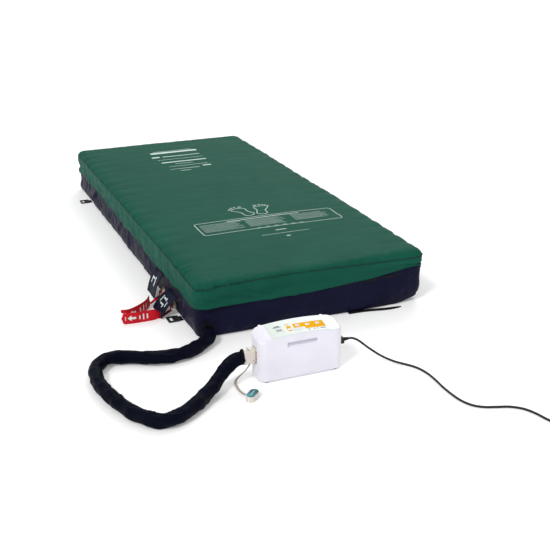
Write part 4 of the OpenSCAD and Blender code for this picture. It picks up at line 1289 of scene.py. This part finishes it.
def add_connector_print():
    """Generic marks on the hose connector and the case's side, and a line on the cap."""
    low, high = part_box("hose_connector")
    right, far, up = (1, 0, 0), (0, 1, 0), (0, 0, 1)
    middle = (low.y + high.y) / 2 - 3 * MM
    parts = [plate_on("mark", bar(0, 0, 5 * MM, wide * 0.8 * MM),
                      flat_on((low.x + 14 * MM, middle + (k - 1) * 8 * MM, high.z), right, far, up),
                      0.1 * MM, DARK_PRINT) for k, wide in enumerate((5, 8, 4))]
    x, z = low.x + 29 * MM, low.z + 14 * MM
    dot = rod("dot", (x, low.y - 0.2 * MM, z), (x, low.y + 0.2 * MM, z), 1.6 * MM, DARK_PRINT)
    placed(joined("connector_print", [*parts, dot]), "mattress", "beige_plastic")
    y = PUMP.y - 17 * MM
    red = [plate_on("mark", bar(0, 0, 4 * MM, tall * 0.8 * MM),
                    flat_on((PUMP_LO.x, y, (96 - 11 * k) * MM), (0, -1, 0), up, (-1, 0, 0)),
                    0.12 * MM, RED_PRINT) for k, tall in enumerate((9, 5, 9, 4))]
    placed(joined("case_side_print", red), "pump", "white_shell")
    low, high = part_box("cap_plate")
    centre = (low + high) / 2
    slant = math.sqrt(0.5)
    line = plate_on("cap_print", rounded(0, 0, 28 * MM, 3.4 * MM, 1.4 * MM),
                    flat_on((centre.x, centre.y, high.z), (slant, slant, 0), (-slant, slant, 0), up),
                    0.12 * MM, PALE_PRINT)
    placed(line, "mattress", "teal_plastic")


def add_cover_print(lid):
    """Outline prints on the cover: two feet, a framed block of lines, and lines at the head end."""
    tree = BVHTree.FromObject(lid, bpy.context.evaluated_depsgraph_get())

    strokes = []
    above = 0.4

    def drape(x, y, lift):
        hit = tree.ray_cast(Vector((x, y, above)), Vector((0, 0, -1)))
        return (x, y, hit[0].z + lift)

    def stroke(line, wide, closed=False):
        line = [*line, line[0]] if closed else line
        line = even(np.array([(x, y, 0) for x, y in line]), 6 * MM)
        side, _ = sides_of(line)
        points = [drape(*(p + s * k * wide)[:2], 0.45 * MM if k else 0.6 * MM)
                  for k in (-0.5, 0, 0.5) for p, s in zip(line, side)]
        strokes.append(mesh_piece("stroke", points, grid_faces(3, len(line)), PRINT))

    sole = [(0, -62), (13, -58), (18, -46), (15, -30), (13, -12), (18, 4), (25, 20), (26, 34),
            (16, 43), (0, 42), (-14, 36), (-21, 24), (-17, 8), (-12, -10), (-14, -30), (-17, -46),
            (-12, -58)]
    toes = ((-15, 50, 8, 11), (0, 58, 5.5, 8), (11, 57, 5, 7.5), (20, 52, 4.6, 6.5), (28, 44, 4.4, 6))
    for cx, cy, side, tip in ((-0.022, -0.326, -1, 15), (0.056, -0.328, 1, -14)):
        a = math.radians(tip)

        def foot(u, v):
            u, v = side * u * 1.3 * MM, v * 1.04 * MM
            return cx + u * math.cos(a) - v * math.sin(a), cy + u * math.sin(a) + v * math.cos(a)
        stroke([foot(u, v) for u, v in sole], 3.0 * MM, closed=True)
        for u, v, wide, tall in toes:
            stroke([foot(u + wide * 0.55 * math.cos(t), v + tall * 0.6 * math.sin(t))
                    for t in np.linspace(0, TAU, 9)[:-1]], 3.0 * MM, closed=True)
    stroke(rounded(0.032, -0.482, 0.582, 0.142, 0.012), 3.0 * MM, closed=True)
    stroke([(-0.128, -0.429), (0.181, -0.429)], 5.0 * MM)
    for left, right, rows, top in ((-0.245, -0.07, 11, -0.437), (-0.06, 0.12, 10, -0.445),
                                   (0.135, 0.30, 9, -0.443)):
        for k in range(rows):
            y = top - k * 0.0085
            wide = (right - left) * (0.84 + 0.14 * float(noise(k * 1.7, left * 9, 71)))
            stroke([(left, y), (left + wide, y)], 1.4 * MM)
    for k in range(6):
        stroke(rounded(-0.035 + 0.036 * k, -0.549, 0.013, 0.011, 0.003), 2.0 * MM, closed=True)
    stroke([(0.013, -0.598), (0.056, -0.598)], 6.0 * MM)
    stroke([(-0.06, -0.638), (0.138, -0.638)], 2.2 * MM)
    stroke([(0.026, -0.675), (0.042, -0.675)], 6.0 * MM)
    for left, right, y, wide in (
            (-0.12, 0.12, 0.735, 26), (-0.10, 0.10, 0.765, 5), (-0.135, -0.095, 0.655, 18),
            (-0.08, 0.11, 0.655, 9), (-0.12, 0.11, 0.600, 3), (-0.116, 0.11, 0.545, 14),
            (-0.06, 0.03, 0.505, 3), (-0.10, 0.093, 0.465, 4), (-0.11, 0.035, 0.415, 4),
            (0.056, 0.098, 0.43, 12), (-0.07, -0.02, 0.375, 5)):
        stroke([(left, y), (right, y)], wide * MM)
    placed(thickened(joined("cover_print", strokes), 0.25 * MM, 1), "mattress", "green_cloth")


# ---- CAD pieces that stay ----
def finish_cad():
    """Gives every CAD node that still shows its material and rounded edges."""
    looks = (
        (ZIP_TAPE, 0, "zip_chain"), (STEEL, 0.5, "zip_slider"), (STEEL, 0.4, "case_screws"),
        (FILM, 0, "static_air_base cell_sheet"),
        (TUBE, 0, "manifold_a manifold_b static_line inner_tubes"),
        (IVORY, 0.5, "cpr_valve_front cpr_valve_rear"), (IVORY, 0.3, "air_port valve_body"),
        (RED_PLASTIC, 0.5, "cpr_plug_front cpr_plug_rear"), (RED_PLASTIC, 0.3, "valve_disc"),
        (BLACK_WEB, 0.3, "side_straps"), (BEIGE, 1.6, "hose_connector"), (BEIGE, 1.4, "transport_cap"),
        (TEAL, 0.5, "cap_plate"), (LABEL, 0.25, "control_panel"), (GLASS, 0.2, "display_window"),
        (KEYS, 0.35, "key_up key_down key_mode key_static key_alarm"), (BOARD, 0, "circuit_board"),
        (RUBBER, 1.2, "hose_boot"), (RUBBER, 0.6, "pump_feet"), (RUBBER, 0.4, "compressor_mounts"),
        (CAST, 1.0, "compressor_housing"), (MAGNET, 0.3, "compressor_armature"),
        (MAGNET, 0.4, "valve_motor"), (BLACK, 1.0, "strap_buckles"), (BLACK, 0.5, "power_rocker"),
        (BLACK, 0.4, "mains_inlet switch_body"), (BLACK, 1.4, "mains_plug"),
        (LEAD, 1.0, "iec_connector"),
        (SHELL, 0.5, "filter_cover"), (SHELL, 0.8, "hook_left hook_right"), (FOAM, 0, "air_filter"),
    )
    for finish, width, names in looks:
        for name in names.split():
            piece = NODES[name]
            piece.data.materials.clear()
            piece.data.materials.append(finish)
            if width:
                edge_rounded(piece, width * MM)


add_camera()
add_studio()
add_hose()
add_tether()
add_lead()
cover = add_top_cover()
add_base_cover()
add_cells("cells_a", 2)
add_cells("cells_b", 2)
add_cells("pillow_cells", 1)
add_tag("front", [(-65, 226), (-100, 219), (-160, 219), (-204, 224)], False, 52)
add_tag("rear", [(-64, 372), (-74, 345), (-94, 314), (-130, 278), (-172, 256), (-200, 259)], True, 57)
add_flap("front", 4 * MM, 16 * MM, [(0.42, 0.5, 0.05, 0.42), (0.55, 0.36, 0.20, 0.06),
                                    (0.55, 0.60, 0.20, 0.06), (0.74, 0.44, 0.05, 0.28),
                                    (0.25, 0.5, 0.05, 0.22)])
add_flap("rear", 3 * MM, 0, [(0.4, 0.5, 0.06, 0.36), (0.56, 0.42, 0.2, 0.06), (0.7, 0.5, 0.06, 0.26)])
add_foot_strap()
add_pump_case()
add_panel_print()
add_connector_print()
add_cover_print(cover)
finish_cad()
